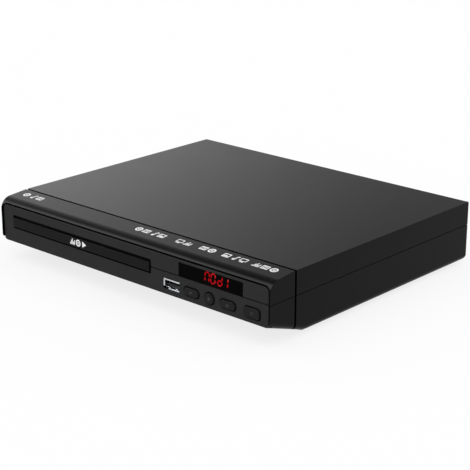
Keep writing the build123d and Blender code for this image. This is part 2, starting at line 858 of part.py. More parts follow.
def loader_frame():
    base = block(tray_x - loader_half, tray_x + loader_half, base_front_depth, loader_rear, base_z, base_top_z)
    opening_half = deck_half_width + base_opening_margin
    base -= block(tray_x - opening_half, tray_x + opening_half, deck_front - past,
                  pickup_rear_limit + past, 0, base_top_z + past)
    frame = base
    for side in (-1, 1):
        inner, outer = tray_x + side * rail_half, tray_x + side * loader_half
        x0, x1 = min(inner, outer), max(inner, outer)
        frame += block(x0, x1, loader_setback, loader_rear, base_z, bridge_z)
        edge = tray_x + side * (rail_half - ledge_reach)
        frame += block(min(edge, inner), max(edge, inner), loader_setback, tray_rear + rail_end_gap,
                       tray_z - running_gap - ledge_height, tray_z - running_gap)
        block_x = sorted([tray_x + side * (deck_half_width + hinge_side_gap),
                          tray_x + side * (deck_half_width + hinge_pin_length + hinge_side_gap)])
        frame += block(block_x[0], block_x[1], hinge_depth - hinge_block_reach,
                       hinge_depth + hinge_block_reach, base_top_z - root, hinge_z + hinge_block_reach)
    frame += block(tray_x - loader_half, tray_x + loader_half, loader_rear - loader_wall, loader_rear,
                   base_z, tray_z)
    floor_left = tray_x - rail_half - root
    floor_right = pulley_x + gear_floor_overhang
    floor_rear = loading_motor_setback + gear_floor_rear_gap
    frame += block(floor_left, floor_right, loader_setback, floor_rear, gear_floor_z, gear_floor_top_z)
    frame += block(floor_left, floor_right, floor_rear, floor_rear + gear_floor_wall, base_z, gear_floor_top_z)
    guide_left = tray_x - cam_half_width - cam_guide_margin
    guide_right = tray_x + cam_half_width + cam_travel + cam_guide_margin
    for depth in (cam_back - cam_thickness - cam_guide_gap - cam_guide_thickness, cam_back + cam_guide_gap):
        frame += block(guide_left, guide_right, depth, depth + cam_guide_thickness, base_top_z - root,
                       base_top_z + cam_guide_height)
    for side, depth in hold_down_lugs():
        inner = tray_x + side * (rail_half - lug_length)
        outer = tray_x + side * (rail_half + root)
        frame += block(min(inner, outer), max(inner, outer), depth - lug_length / 2, depth + lug_length / 2,
                       tray_top_z + lug_height_gap, bridge_z)
        frame -= post(tray_x + side * (rail_half - lug_length / 2), depth, tray_top_z, bridge_z + past,
                      screw_radius + screw_clearance)
    frame &= body_form(wall + loader_case_gap)
    shoulder = gear_pin_radius + gear_shoulder_width
    frame += post(tray_gear_x, tray_gear_setback, gear_floor_top_z - root, gear_z - gear_shoulder_gap, shoulder)
    frame += post(tray_gear_x, tray_gear_setback, gear_z - root, gear_top_z, gear_pin_radius)
    frame += post(pulley_x, pulley_setback, gear_floor_top_z - root, pulley_z - gear_shoulder_gap, shoulder)
    frame += post(pulley_x, pulley_setback, gear_floor_top_z, gear_top_z, gear_pin_radius)
    frame -= post(loading_motor_x, loading_motor_setback, gear_floor_z - past, gear_floor_top_z + past,
                  motor_shaft_radius + motor_collar_width + motor_collar_gap)
    frame -= post(loading_motor_x, loading_motor_setback, base_z - past, gear_floor_z,
                  loading_motor_radius + motor_can_gap)
    for x, depth in loader_screw_places:
        frame -= post(x, depth, base_z - past, base_top_z + past, screw_radius + screw_clearance)
    bore_reach = deck_half_width + hinge_side_gap + hinge_pin_length + past
    for side in (-1, 1):
        x0, x1 = sorted([tray_x + side * deck_half_width, tray_x + side * bore_reach])
        frame -= rod_across(x0, x1, hinge_depth, hinge_z, hinge_pin_radius + shaft_fit)
    return frame


def loader_screws():
    screws = [Pos(x, at(depth), base_top_z) * screw(loader_screw_length) for x, depth in loader_screw_places]
    lug_screw_length = bridge_top_z - tray_top_z - lug_height_gap - 2 * fit_gap
    for side, depth in hold_down_lugs():
        x = tray_x + side * (rail_half - lug_length / 2)
        screws.append(Pos(x, at(depth), bridge_top_z) * screw(lug_screw_length))
    return Compound(screws)


def clamper_bridge():
    bridge = block(tray_x - loader_half, tray_x + loader_half, disc_depth - bridge_length / 2,
                   disc_depth + bridge_length / 2, bridge_z, bridge_top_z)
    bridge = fillet(bridge.edges().filter_by(Axis.Z), bridge_corner_radius)
    bridge -= post(tray_x, disc_depth, bridge_z - past, bridge_top_z + past, clamper_neck_radius + clamper_play)
    for side, depth in hold_down_lugs():
        bridge -= post(tray_x + side * (rail_half - lug_length / 2), depth, bridge_z - past,
                       bridge_top_z + past, screw_radius + screw_clearance)
    for side in (-1, 1):
        x0, x1 = sorted([tray_x + side * (clamper_radius + bridge_rib_margin),
                         tray_x + side * (loader_half - bridge_rib_margin)])
        rib = stadium(x0, at(disc_depth), x1, at(disc_depth), bridge_rib_width / 2)
        bridge += flat_outline(rib, bridge_top_z - fit_gap, bridge_top_z + bridge_rib_height)
    return bridge


def clamper():
    disc = post(tray_x, disc_depth, clamper_z, clamper_z + clamper_disc_height, clamper_radius)
    disc += post(tray_x, disc_depth, clamper_z, clamper_cap_z + clamper_cap_height, clamper_neck_radius)
    disc += post(tray_x, disc_depth, clamper_cap_z, clamper_cap_z + clamper_cap_height, clamper_radius)
    hollow_top = platter_z + hub_height + clamper_play
    disc -= post(tray_x, disc_depth, clamper_z - past, hollow_top, hub_radius + clamper_play)
    return disc - post(tray_x, disc_depth, clamper_cap_z + clamper_cap_height - clamper_dish_depth, body_height,
                       clamper_neck_radius - clamper_dish_rim)


def loading_motor():
    can = post(loading_motor_x, loading_motor_setback, gear_floor_z - loading_motor_height, gear_floor_z,
               loading_motor_radius)
    can = fillet(can.faces().sort_by(Axis.Z)[0].edges(), motor_edge_radius)
    can += post(loading_motor_x, loading_motor_setback, gear_floor_z - root, gear_floor_z + motor_collar_height,
                motor_shaft_radius + motor_collar_width)
    return can - post(loading_motor_x, loading_motor_setback, gear_floor_z - motor_shaft_sink, gear_floor_top_z,
                      motor_shaft_radius + shaft_fit)


def grooved_pulley(x, depth, radius, z0, z1):
    body = post(x, depth, z0, z1, radius)
    half = belt_thickness / 2 + belt_groove_gap
    ring = (post(x, depth, belt_z - half, belt_z + half, radius + past)
            - post(x, depth, belt_z - half - past, belt_z + half + past, radius - pulley_groove_depth))
    return body - ring


def motor_pulley():
    pulley = grooved_pulley(loading_motor_x, loading_motor_setback, motor_pulley_radius, pulley_z,
                            pulley_z + pulley_height)
    return pulley + post(loading_motor_x, loading_motor_setback, gear_floor_z - motor_shaft_sink + root,
                         pulley_z + pulley_height + motor_shaft_proud, motor_shaft_radius)


def pulley_gear():
    gear = grooved_pulley(pulley_x, pulley_setback, pulley_radius, pulley_z, pulley_z + pulley_height)
    tooth_angle = 180.0
    step = 360.0 / tray_gear_teeth
    offset = (tooth_angle - gear_line_deg) % step
    first = gear_line_deg + 180 - offset * tray_gear_teeth / pinion_teeth + 180.0 / pinion_teeth
    teeth = Pos(pulley_x, at(pulley_setback)) * gear_teeth(pinion_teeth, first)
    gear += flat_outline(teeth, pulley_z + pulley_height - fit_gap, gear_top_z)
    return gear - post(pulley_x, pulley_setback, pulley_z - past, gear_top_z + past,
                       gear_pin_radius + shaft_fit)


def tray_gear():
    teeth = Pos(tray_gear_x, at(tray_gear_setback)) * gear_teeth(tray_gear_teeth, 180.0)
    gear = flat_outline(teeth, gear_z, gear_top_z)
    return gear - post(tray_gear_x, tray_gear_setback, gear_z - past, gear_top_z + past,
                       gear_pin_radius + shaft_fit)


def belt_outline(grow):
    # Two circles joined by their outer tangents, seen from above.
    r0 = motor_pulley_radius - pulley_groove_depth + belt_gap + grow
    r1 = pulley_radius - pulley_groove_depth + belt_gap + grow
    x0, y0, x1, y1 = loading_motor_x, at(loading_motor_setback), pulley_x, at(pulley_setback)
    distance = math.hypot(x1 - x0, y1 - y0)
    heading = math.atan2(y1 - y0, x1 - x0)
    lean = math.acos((r0 - r1) / distance)
    corners = []
    for side in (1, -1):
        direction = heading + side * lean
        ends = [(x0 + r0 * math.cos(direction), y0 + r0 * math.sin(direction)),
                (x1 + r1 * math.cos(direction), y1 + r1 * math.sin(direction))]
        corners += ends if side == 1 else ends[::-1]
    return (make_face(Polyline(*corners, close=True)) + Pos(x0, y0) * Circle(r0) + Pos(x1, y1) * Circle(r1))


def drive_belt():
    loop = belt_outline(belt_thickness) - belt_outline(0)
    return flat_outline(loop, belt_z - belt_thickness / 2, belt_z + belt_thickness / 2)


def cam_slider():
    low_z = base_top_z + cam_floor_gap
    high_z = cam_pin_z + cam_pin_radius + cam_slot_clearance + cam_edge
    slider = block(tray_x - cam_half_width, tray_x + cam_half_width, cam_back - cam_thickness, cam_back,
                   low_z, high_z)
    pin_reach = hinge_depth - cam_back + cam_thickness / 2
    tilt = math.radians(deck_tilt_deg)
    pin_drop = pin_reach * math.sin(tilt) + cam_pin_rise * (1 - math.cos(tilt))
    for side in (-1, 1):
        x = tray_x + side * cam_pin_spread
        slot = stadium(0, 0, -cam_travel, -pin_drop, cam_pin_radius + cam_slot_clearance)
        slider -= front_outline(slot, x, cam_pin_z, cam_back - cam_thickness - past, cam_back + past)
    return slider


# Tray

def tray():
    base = Pos(tray_x, at((tray_front + tray_rear) / 2)) * RectangleRounded(
        tray_width, tray_rear - tray_front, tray_corner_radius)
    body = flat_outline(base, tray_z, tray_top_z)
    body -= post(tray_x, disc_depth, pocket_z, tray_top_z + past, pocket_radius)
    body -= post(tray_x, disc_depth, small_pocket_z, tray_top_z + past,
                 small_disc_diameter / 2 + pocket_clearance)
    # The slot for the spindle is open to the rear, and has a neck at its front.
    slot_half = turntable_radius + tray_slot_margin
    round_radius = slot_half + tray_slot_widening
    body -= post(tray_x, disc_depth, tray_z - past, tray_top_z + past, round_radius)
    body -= block(tray_x - slot_half, tray_x + slot_half, disc_depth, tray_rear + past, tray_z - past,
                  tray_top_z + past)
    body -= block(tray_x - tray_neck_half, tray_x + tray_neck_half, disc_depth - round_radius - past,
                  disc_depth, tray_z - past, tray_top_z + past)
    return body + rack()


def rack():
    slope = math.tan(math.radians(pressure_angle_deg))
    half_tooth = tooth_share * tooth_pitch / 2
    after = math.ceil(tray_travel / tooth_pitch) + 1
    start = tray_gear_setback - (rack_lead_teeth + 0.5) * tooth_pitch
    end = min(tray_gear_setback + (after + 0.5) * tooth_pitch, tray_rear - rack_end_gap)
    points = [(rack_root_x - rack_bar_width, at(end)), (rack_root_x - rack_bar_width, at(start)),
              (rack_root_x, at(start))]
    for n in range(-rack_lead_teeth, after):
        middle = at(tray_gear_setback + (n + 0.5) * tooth_pitch)
        if middle + tooth_pitch / 2 > at(end):
            break
        for side, reach in ((-1, -dedendum), (-1, addendum), (1, addendum), (1, -dedendum)):
            points.append((rack_root_x + dedendum + reach, middle + side * (half_tooth - reach * slope)))
    points.append((rack_root_x, at(end)))
    return flat_outline(make_face(Polyline(*points, close=True)), rack_z, tray_z + root)


def tray_door():
    half = door_opening_width / 2 - door_side_groove
    front = block(tray_x - half, tray_x + half, door_front, door_mid, door_low_z + door_bottom_groove,
                  door_high_z - door_top_groove)
    front = fillet(front.faces().sort_by(Axis.Y)[0].edges(), door_edge_radius)
    half = door_opening_width / 2 - door_flange_gap
    flange = block(tray_x - half, tray_x + half, door_mid, tray_front, door_low_z + door_flange_gap,
                   door_high_z - door_flange_gap)
    return front + flange


# Deck

def deck():
    x0, x1 = tray_x - deck_half_width, tray_x + deck_half_width
    plate = block(x0, x1, deck_front, deck_rear, deck_z, deck_top_z)
    window_half = rod_spread - deck_window_inset
    plate -= block(tray_x - window_half, tray_x + window_half,
                   disc_depth + spindle_motor_radius + deck_window_gap, pickup_rear_limit - deck_window_gap,
                   deck_z - past, deck_top_z + past)
    plate += block(x0 + deck_lip_inset, x1 - deck_lip_inset, deck_front, deck_front + deck_lip_thickness,
                   deck_z, cam_pin_z + deck_lip_margin)
    for side in (-1, 1):
        plate += rod_along_depth(tray_x + side * cam_pin_spread, cam_pin_z,
                                 cam_back - cam_thickness - cam_pin_proud, deck_front + root, cam_pin_radius)
        edge = tray_x + side * deck_half_width
        ear = sorted([edge, edge - side * hinge_ear])
        plate += block(ear[0], ear[1], hinge_depth - hinge_ear, hinge_depth + hinge_ear, deck_z,
                       hinge_z + hinge_ear)
        pin = sorted([edge - side * root, edge + side * hinge_pin_length])
        plate += rod_across(pin[0], pin[1], hinge_depth, hinge_z, hinge_pin_radius)
    for x in (tray_x - rod_spread, tray_x + rod_spread):
        for depth in rod_support_depths():
            plate += block(x - rod_support_width / 2, x + rod_support_width / 2, depth - rod_support_length / 2,
                           depth + rod_support_length / 2, deck_top_z - root, rod_z + rod_support_top)
        plate -= rod_along_depth(x, rod_z, *rod_span(), rod_radius)
    screw_x = tray_x + lead_screw_offset
    rear = rod_support_depths()[1]
    half = rod_support_length / 2
    plate += block(screw_x - screw_support_half, screw_x + screw_support_half, rear - half, rear + half,
                   deck_top_z - root, rod_z + rod_support_top)
    return plate - rod_along_depth(screw_x, rod_z, rear - half - past, rear + half + past,
                                   lead_screw_radius + shaft_fit)


def rod_support_depths():
    front = disc_depth + pickup_inner_radius - pickup_front_reach - support_gap - rod_support_length / 2
    return front, pickup_rear_limit + support_gap + rod_support_length / 2


def rod_span():
    front, rear = rod_support_depths()
    return front - rod_support_length / 2, rear + rod_support_length / 2


def spindle_motor():
    can = post(tray_x, disc_depth, deck_top_z, deck_top_z + spindle_motor_height, spindle_motor_radius)
    can = fillet(can.faces().sort_by(Axis.Z)[-1].edges(), spindle_motor_edge_radius)
    return can - post(tray_x, disc_depth, deck_top_z + spindle_sink, body_height, spindle_radius + shaft_fit)


def guide_rods():
    return Compound([rod_along_depth(tray_x + side * rod_spread, rod_z, *rod_span(), rod_radius)
                     for side in (-1, 1)])


def sled_motor():
    rear = rod_support_depths()[0]
    x = tray_x + lead_screw_offset
    can = rod_along_depth(x, rod_z, rear - sled_motor_length, rear, sled_motor_radius)
    foot = block(x - screw_support_half, x + screw_support_half, rear - sled_motor_length + sled_foot_inset,
                 rear - sled_foot_inset, deck_top_z, rod_z)
    return can + foot - rod_along_depth(x, rod_z, rear - lead_screw_sink - root, rear + past,
                                        lead_screw_radius + shaft_fit)


def lead_screw():
    front, rear = rod_support_depths()
    return rod_along_depth(tray_x + lead_screw_offset, rod_z, front - lead_screw_sink,
                           rear + rod_support_length / 2 + lead_screw_proud, lead_screw_radius)


def turntable():
    disc = post(tray_x, disc_depth, turntable_z, platter_z - ring_height, turntable_radius)
    hub = Pos(tray_x, at(disc_depth), platter_z - ring_height + (hub_height + ring_height) / 2) * Cone(
        hub_radius, hub_radius - hub_taper, hub_height + ring_height)
    waist = (post(tray_x, disc_depth, turntable_z + turntable_floor, platter_z - ring_height - turntable_rim,
                  turntable_radius + past)
             - post(tray_x, disc_depth, turntable_z, platter_z, turntable_radius - turntable_waist))
    shaft = post(tray_x, disc_depth, deck_top_z + spindle_sink + root, turntable_z + root, spindle_radius)
    return disc + hub - waist + shaft


def turntable_ring():
    return (post(tray_x, disc_depth, platter_z - ring_height, platter_z, turntable_radius)
            - post(tray_x, disc_depth, platter_z - ring_height - past, platter_z + past,
                   turntable_radius - ring_width))


def pickup():
    lens_depth = disc_depth + pickup_inner_radius
    low_z = deck_top_z + pickup_lift
    body = block(tray_x - pickup_half_width, tray_x + pickup_half_width, lens_depth - pickup_front_reach,
                 lens_depth + pickup_rear_reach, low_z, low_z + pickup_height)
    body = fillet(body.edges().filter_by(Axis.Z), pickup_corner_radius)
    follower_end = lead_screw_offset - lead_screw_radius - follower_gap
    body += block(tray_x + pickup_half_width - past, tray_x + follower_end, lens_depth,
                  lens_depth + follower_length, rod_z - follower_height / 2, rod_z + follower_height / 2)
    for side in (-1, 1):
        body -= rod_along_depth(tray_x + side * rod_spread, rod_z, lens_depth - pickup_front_reach - past,
                                lens_depth + pickup_rear_reach + past, rod_radius + shaft_fit)
    return body - post(tray_x, lens_depth, low_z + pickup_height - lens_well_depth, body_height,
                       lens_radius + lens_well_gap)


def pickup_lens():
    lens_depth = disc_depth + pickup_inner_radius
    top_z = deck_top_z + pickup_lift + pickup_height
    lens = post(tray_x, lens_depth, top_z - lens_well_depth, top_z + lens_height, lens_radius)
    return fillet(lens.faces().sort_by(Axis.Z)[-1].edges(), lens_edge_radius)


# Controls behind the face plate

def button(name):
    x = button_x[name]
    flange_start = face_back + button_play
    cap = front_outline(button_shape(name, 0), x, button_z, button_front, flange_start + fit_gap)
    cap = fillet(cap.faces().sort_by(Axis.Y)[0].edges(), button_edge_radius)
    flange = front_outline(button_shape(name, button_flange), x, button_z, flange_start,
                           flange_start + button_flange_thickness)
    stem_end = control_board_setback - switch_depth - switch_plunger_depth - button_travel - fit_gap
    return cap + flange + rod_along_depth(x, button_z, flange_start + root, stem_end, button_stem_radius)


def control_board_box():
    return (usb_x - usb_width / 2 - control_board_side, power_x + power_button_length / 2 + control_board_side,
            undercut_z + control_board_low, face_top_z - control_board_high)


def control_board():
    x0, x1, z0, z1 = control_board_box()
    back = control_board_setback + board_thickness
    board = block(x0, x1, control_board_setback, back, z0, z1)
    for x, z in control_post_places:
        board -= rod_along_depth(x, z, control_board_setback - past, back + past,
                                 control_screw_radius + screw_clearance)
    half = ribbon_width / 2 + 2 * plug_margin
    return board + block(stop_x - half, stop_x + half, back, back + ribbon_plug_depth,
                         button_z - 2 * plug_margin, button_z + 3 * plug_margin)


def control_screws():
    back = control_board_setback + board_thickness
    screws = []
    for x, z in control_post_places:
        shank = rod_along_depth(x, z, control_board_setback - control_screw_grip, back, control_screw_radius)
        screws.append(shank + rod_along_depth(x, z, back, back + control_screw_head_height,
                                              control_screw_head_radius))
    return Compound(screws)


def tact_switches():
    switches = []
    for x in button_x.values():
        front = control_board_setback - switch_depth
        body = block(x - switch_side / 2, x + switch_side / 2, front, control_board_setback,
                     button_z - switch_side / 2, button_z + switch_side / 2)
        switches.append(body + rod_along_depth(x, button_z, front - switch_plunger_depth, front + root,
                                               switch_plunger_radius))
    return Compound(switches)


def led_display():
    x0 = window_x - window_width / 2 + led_side_margin
    return block(x0, x0 + led_length, control_board_setback - led_depth, control_board_setback,
                 window_z - window_height / 2 + led_edge_margin, window_z + window_height / 2 - led_edge_margin)


def ir_receiver():
    x0 = window_x - window_width / 2 + led_side_margin + led_length + receiver_gap
    body = block(x0, x0 + receiver_width, control_board_setback - receiver_depth, control_board_setback,
                 window_z - receiver_height / 2, window_z + receiver_height / 2)
    dome = Pos(x0 + receiver_width / 2, at(control_board_setback - receiver_depth),
               window_z) * Sphere(receiver_dome_radius)
    return body + dome


def usb_socket():
    width, height = usb_width - 2 * usb_hole_gap, usb_height - 2 * usb_hole_gap
    shell = front_outline(RectangleRounded(width, height, usb_corner_radius), usb_x, usb_z, face_recess,
                          control_board_setback)
    return shell - front_outline(Rectangle(width - 2 * socket_shell, height - 2 * socket_shell), usb_x, usb_z,
                                 face_recess - past, control_board_setback - socket_floor)


def hdmi_outline(shrink):
    width, height = hdmi_width / 2 - shrink, hdmi_height / 2 - shrink
    low, inner = -height + hdmi_chamfer, width - hdmi_chamfer
    return make_face(Polyline((-width, height), (-width, low), (-inner, -height), (inner, -height),
                              (width, low), (width, height), close=True))


def hdmi_socket():
    z = board_top_z + hdmi_height / 2
    shell = front_outline(hdmi_outline(0), hdmi_x, z, panel_back - hdmi_depth, panel_back)
    return shell - front_outline(hdmi_outline(socket_shell), hdmi_x, z, panel_back - hdmi_depth + socket_floor,
                                 panel_back + past)


def socket_tongues():
    usb = block(usb_x - usb_tongue_width / 2, usb_x + usb_tongue_width / 2, face_recess + tongue_setback,
                control_board_setback - socket_floor, usb_z - usb_tongue_thickness, usb_z)
    low_z = board_top_z + hdmi_height / 2 - hdmi_tongue_drop
    half = hdmi_width / 2 - hdmi_tongue_inset
    hdmi = block(hdmi_x - half, hdmi_x + half, panel_back - hdmi_depth + socket_floor,
                 panel_back - tongue_setback, low_z, low_z + hdmi_tongue_thickness)
    return Compound([usb, hdmi])


# Boards in the body

def plain_board(x_range, depth_range):
    board = block(*x_range, *depth_range, board_z, board_top_z)
    for x, depth in board_bosses(x_range, depth_range):
        board -= post(x, depth, board_z - past, board_top_z + past, screw_radius + screw_clearance)
    return board


def board_screws():
    return Compound([Pos(x, at(depth), board_top_z) * screw(board_screw_length)
                     for x, depth in all_board_bosses])


def on_board(x_range, depth_range, x_share, depth_share):
    # A place given as shares of a board's width and length.
    return (x_range[0] + x_share * (x_range[1] - x_range[0]),
            depth_range[0] + depth_share * (depth_range[1] - depth_range[0]))


def brick(place, width, length, low_z, height):
    # A block standing on low_z, centred over a place on a board.
    x, depth = place
    return block(x - width / 2, x + width / 2, depth - length / 2, depth + length / 2, low_z, low_z + height)


main_chip_place = on_board(decoder_x, decoder_depth, 0.31, 0.5)


def decoder_chips():
    memory = on_board(decoder_x, decoder_depth, 0.67, 0.42)
    driver = on_board(decoder_x, decoder_depth, 0.67, 0.67)
    regulator = on_board(decoder_x, decoder_depth, 0.2, 0.83)
    return Compound([brick(main_chip_place, main_chip_side, main_chip_side, board_top_z, main_chip_height),
                     brick(memory, memory_chip_length, memory_chip_width, board_top_z, small_chip_height),
                     brick(driver, memory_chip_width, driver_chip_width, board_top_z, small_chip_height),
                     brick(regulator, regulator_length, regulator_width, board_top_z, regulator_height)])


def heat_sink():
    base_low = board_top_z + main_chip_height
    sink = brick(main_chip_place, sink_side, sink_side, base_low, sink_base)
    x, depth = main_chip_place
    pitch = (sink_side - sink_fin) / (sink_fin_count - 1)
    for n in range(sink_fin_count):
        fin = (x + (n - (sink_fin_count - 1) / 2) * pitch, depth)
        sink += brick(fin, sink_fin, sink_side, base_low, sink_height)
    return sink


def transformer():
    place = on_board(decoder_x, power_depth, 0.28, 0.5)
    coil_low = board_top_z + (core_height - coil_height) / 2
    core = brick(place, core_width, core_length, board_top_z, core_height)
    coil = brick(place, coil_width, coil_length, coil_low, coil_height)
    return core + fillet(coil.edges().filter_by(Axis.Z), coil_corner_radius)


def capacitors():
    cans = [(0.67, 0.22, main_can_radius, main_can_height), (0.67, 0.47, small_can_radius, small_can_height),
            (0.85, 0.36, small_can_radius, small_can_height), (0.15, 0.12, mini_can_radius, mini_can_height)]
    solids = []
    for x_share, depth_share, radius, height in cans:
        x, depth = on_board(decoder_x, power_depth, x_share, depth_share)
        can = post(x, depth, board_top_z, board_top_z + height, radius)
        solids.append(fillet(can.faces().sort_by(Axis.Z)[-1].edges(), can_edge_radius))
    return Compound(solids)


def mains_fuse():
    # A glass tube in two end caps, each cap on its own post.
    x, depth = inlet_x - fuse_gap, power_depth[1] - fuse_rear_gap
    fuse_z = board_top_z + fuse_rise
    fuse = rod_along_depth(x, fuse_z, depth - fuse_length / 2, depth + fuse_length / 2, fuse_radius)
    for side in (-1, 1):
        cap = depth + side * (fuse_length - fuse_cap_length) / 2
        fuse += rod_along_depth(x, fuse_z, cap - fuse_cap_length / 2, cap + fuse_cap_length / 2,
                                fuse_cap_radius)
        fuse += brick((x, cap), fuse_cap_radius, fuse_cap_length, board_top_z, fuse_rise)
    return fuse


def inlet_outline(grow):
    return RectangleRounded(inlet_width + 2 * grow, inlet_height + 2 * grow, inlet_corner_radius)


def mains_inlet():
    front, rear = body_depth - inlet_depth, body_depth - inlet_drop
    body = front_outline(inlet_outline(0), inlet_x, inlet_z, front, rear)
    mouth = stadium(-inlet_pin_spacing / 2, 0, inlet_pin_spacing / 2, 0, inlet_height / 2 - inlet_wall)
    body -= front_outline(mouth, inlet_x, inlet_z, rear - inlet_cavity_depth, rear + past)
    for side in (-1, 1):
        x0, x1 = sorted([inlet_x + side * (inlet_width / 2 - root),
                         inlet_x + side * (inlet_width / 2 + inlet_ear)])
        body += block(x0, x1, panel_front - inlet_ear, panel_front, inlet_z - inlet_ear_height / 2,
                      inlet_z + inlet_ear_height / 2)
        body -= rod_along_depth(inlet_x + side * inlet_pin_spacing / 2, inlet_z, front - past, rear,
                                inlet_pin_radius)
    half = inlet_width / 2 - inlet_foot_inset
    return body + block(inlet_x - half, inlet_x + half, front, power_depth[1] - root, board_top_z,
                        inlet_z - inlet_height / 2 + root)


def inlet_pins():
    mouth_floor = body_depth - inlet_drop - inlet_cavity_depth
    pins = []
    for side in (-1, 1):
        pin = rod_along_depth(inlet_x + side * inlet_pin_spacing / 2, inlet_z, body_depth - inlet_depth,
                              mouth_floor + inlet_pin_length, inlet_pin_radius)
        pins.append(fillet(pin.faces().sort_by(Axis.Y)[-1].edges(), inlet_pin_edge_radius))
    return Compound(pins)


panel_screw_places = [(jack_x[0] + jack_pitch * (n + 0.5), jack_z + panel_screw_rise) for n in range(2)]


def jack_block():
    front = panel_front - jack_block_depth
    body = block(jack_x[0] - jack_block_side, jack_x[2] + jack_block_side, front, panel_front, board_top_z,
                 jack_z + panel_screw_rise + jack_block_margin)
    for x in jack_x:
        body -= rod_along_depth(x, jack_z, front + jack_block_back, panel_front + past, jack_neck_radius)
    for x, z in panel_screw_places:
        body -= rod_along_depth(x, z, front + jack_block_back, panel_front + past,
                                screw_radius + screw_clearance)
    return body


def jack_sleeves():
    # The barrel that a plug slides over starts at the panel; its neck is held in the block.
    front = panel_front - jack_block_depth + jack_block_back
    tip = body_depth + jack_reach
    sleeves = []
    for x in jack_x:
        barrel = rod_along_depth(x, jack_z, panel_back, tip, jack_radius)
        neck = rod_along_depth(x, jack_z, front, panel_back + jack_shoulder, jack_neck_radius)
        bore = (rod_along_depth(x, jack_z, front + past, tip, jack_neck_radius - jack_wall)
                + rod_along_depth(x, jack_z, panel_back + jack_shoulder, tip + past, jack_radius - jack_wall))
        sleeves.append(barrel + neck - bore)
    return Compound(sleeves)


def jack_insert(x):
    front = panel_front - jack_block_depth + jack_block_back + past
    tip = body_depth + jack_reach
    plug = rod_along_depth(x, jack_z, front, tip - jack_insert_drop, jack_neck_radius - jack_wall)
    plug += rod_along_depth(x, jack_z, panel_back + jack_shoulder, tip - jack_insert_drop,
                            jack_radius - jack_wall)
    return plug - rod_along_depth(x, jack_z, tip - jack_hole_depth, tip, jack_insert_radius)


def panel_screws():
    screws = []
    for x, z in panel_screw_places:
        screws.append(Pos(x, at(panel_back), z) * Rot(-90, 0, 0) * screw(panel_screw_length))
    return Compound(screws)


def control_ribbon():
    # A flat cable from the control board down to a plug on the decoder board.
    start = control_board_setback + board_thickness + ribbon_plug_depth
    end = decoder_depth[0] + ribbon_plug_setback
    low = board_top_z + ribbon_plug_height - 2 * plug_margin
    z = button_z + plug_margin / 2
    run = 2 * ribbon_bend_radius
    line = FilletPolyline((at(start + fit_gap), z), (at(start + run), z), (at(end - run), low), (at(end), low),
                          radius=[ribbon_bend_radius, ribbon_bend_radius])
    ribbon = side_outline(trace(line, ribbon_thickness), stop_x - ribbon_width / 2, stop_x + ribbon_width / 2)
    half = ribbon_width / 2 + plug_margin
    return ribbon + block(stop_x - half, stop_x + half, end, end + ribbon_plug_depth + plug_margin, board_top_z,
                          board_top_z + ribbon_plug_height)


def signal_lead():
    # A round lead in the gap beside the loader, from the decoder board to the socket board.
    x = tray_x + loader_half + board_gap / 2
    z = board_top_z + lead_rise
    plug_high_z = z + lead_radius + plug_margin
    first_plug = (decoder_x[0] + lead_plug_length, decoder_depth[1] - 2.4 * lead_plug_length)
    second_plug = (av_x[1] - 2.2 * lead_plug_length, av_depth[0] + lead_plug_length)
    start = (first_plug[0] - lead_plug_length / 4, at(first_plug[1] + lead_plug_length / 4), z)
    corner = (x, at(decoder_depth[1] - lead_plug_length), z)
    bend = (x, at(loader_rear + lead_bend_radius), z)
    turn = (second_plug[0] + lead_plug_length, at(second_plug[1]), z)
    end = (second_plug[0], at(second_plug[1]), z)
    path = FilletPolyline(start, corner, bend, turn, end,
                          radius=[lead_bend_radius, lead_bend_radius, lead_bend_radius / 2])
    section = Plane(origin=path @ 0, z_dir=path % 0) * Circle(lead_radius)
    lead = sweep(section, path=path)
    for place in (first_plug, second_plug):
        lead += brick(place, lead_plug_length * 0.8, lead_plug_length * 0.8, board_top_z,
                      plug_high_z - board_top_z)
    return lead


nodes = {
    "upper_case": upper_case(),
    "lower_case": lower_case(),
    "front_bezel": front_bezel(),
    "face_plate": face_plate(),
    "display_window": display_window(),
    "rear_panel": rear_panel(),
    "rubber_feet": rubber_feet(),
    "case_screws": case_screws(),
    "loader_frame": loader_frame(),
    "loader_screws": loader_screws(),
    "clamper_bridge": clamper_bridge(),
    "clamper": clamper(),
    "loading_motor": loading_motor(),
    "motor_pulley": motor_pulley(),
    "pulley_gear": pulley_gear(),
    "tray_gear": tray_gear(),
    "drive_belt": drive_belt(),
    "cam_slider": cam_slider(),
    "tray": tray(),
    "tray_door": tray_door(),
    "deck": deck(),
    "spindle_motor": spindle_motor(),
    "guide_rods": guide_rods(),
    "sled_motor": sled_motor(),
    "lead_screw": lead_screw(),
    "turntable": turntable(),
    "turntable_ring": turntable_ring(),
    "pickup": pickup(),
    "pickup_lens": pickup_lens(),
    "control_board": control_board(),
    "control_screws": control_screws(),
    "tact_switches": tact_switches(),
    "led_display": led_display(),
    "ir_receiver": ir_receiver(),
    "usb_socket": usb_socket(),
    "hdmi_socket": hdmi_socket(),
    "socket_tongues": socket_tongues(),
    "decoder_board": plain_board(decoder_x, decoder_depth),
    "power_board": plain_board(decoder_x, power_depth),
    "av_board": plain_board(av_x, av_depth),
    "board_screws": board_screws(),
    "decoder_chips": decoder_chips(),
    "heat_sink": heat_sink(),
    "transformer": transformer(),
    "capacitors": capacitors(),
    "mains_fuse": mains_fuse(),
    "mains_inlet": mains_inlet(),
    "inlet_pins": inlet_pins(),
    "jack_block": jack_block(),
    "jack_sleeves": jack_sleeves(),
    "panel_screws": panel_screws(),
    "control_ribbon": control_ribbon(),
    "signal_lead": signal_lead(),
}
for name in button_x:
    nodes[name] = button(name)
for colour, x in zip(("yellow", "white", "red"), jack_x):
    nodes["jack_insert_" + colour] = jack_insert(x)

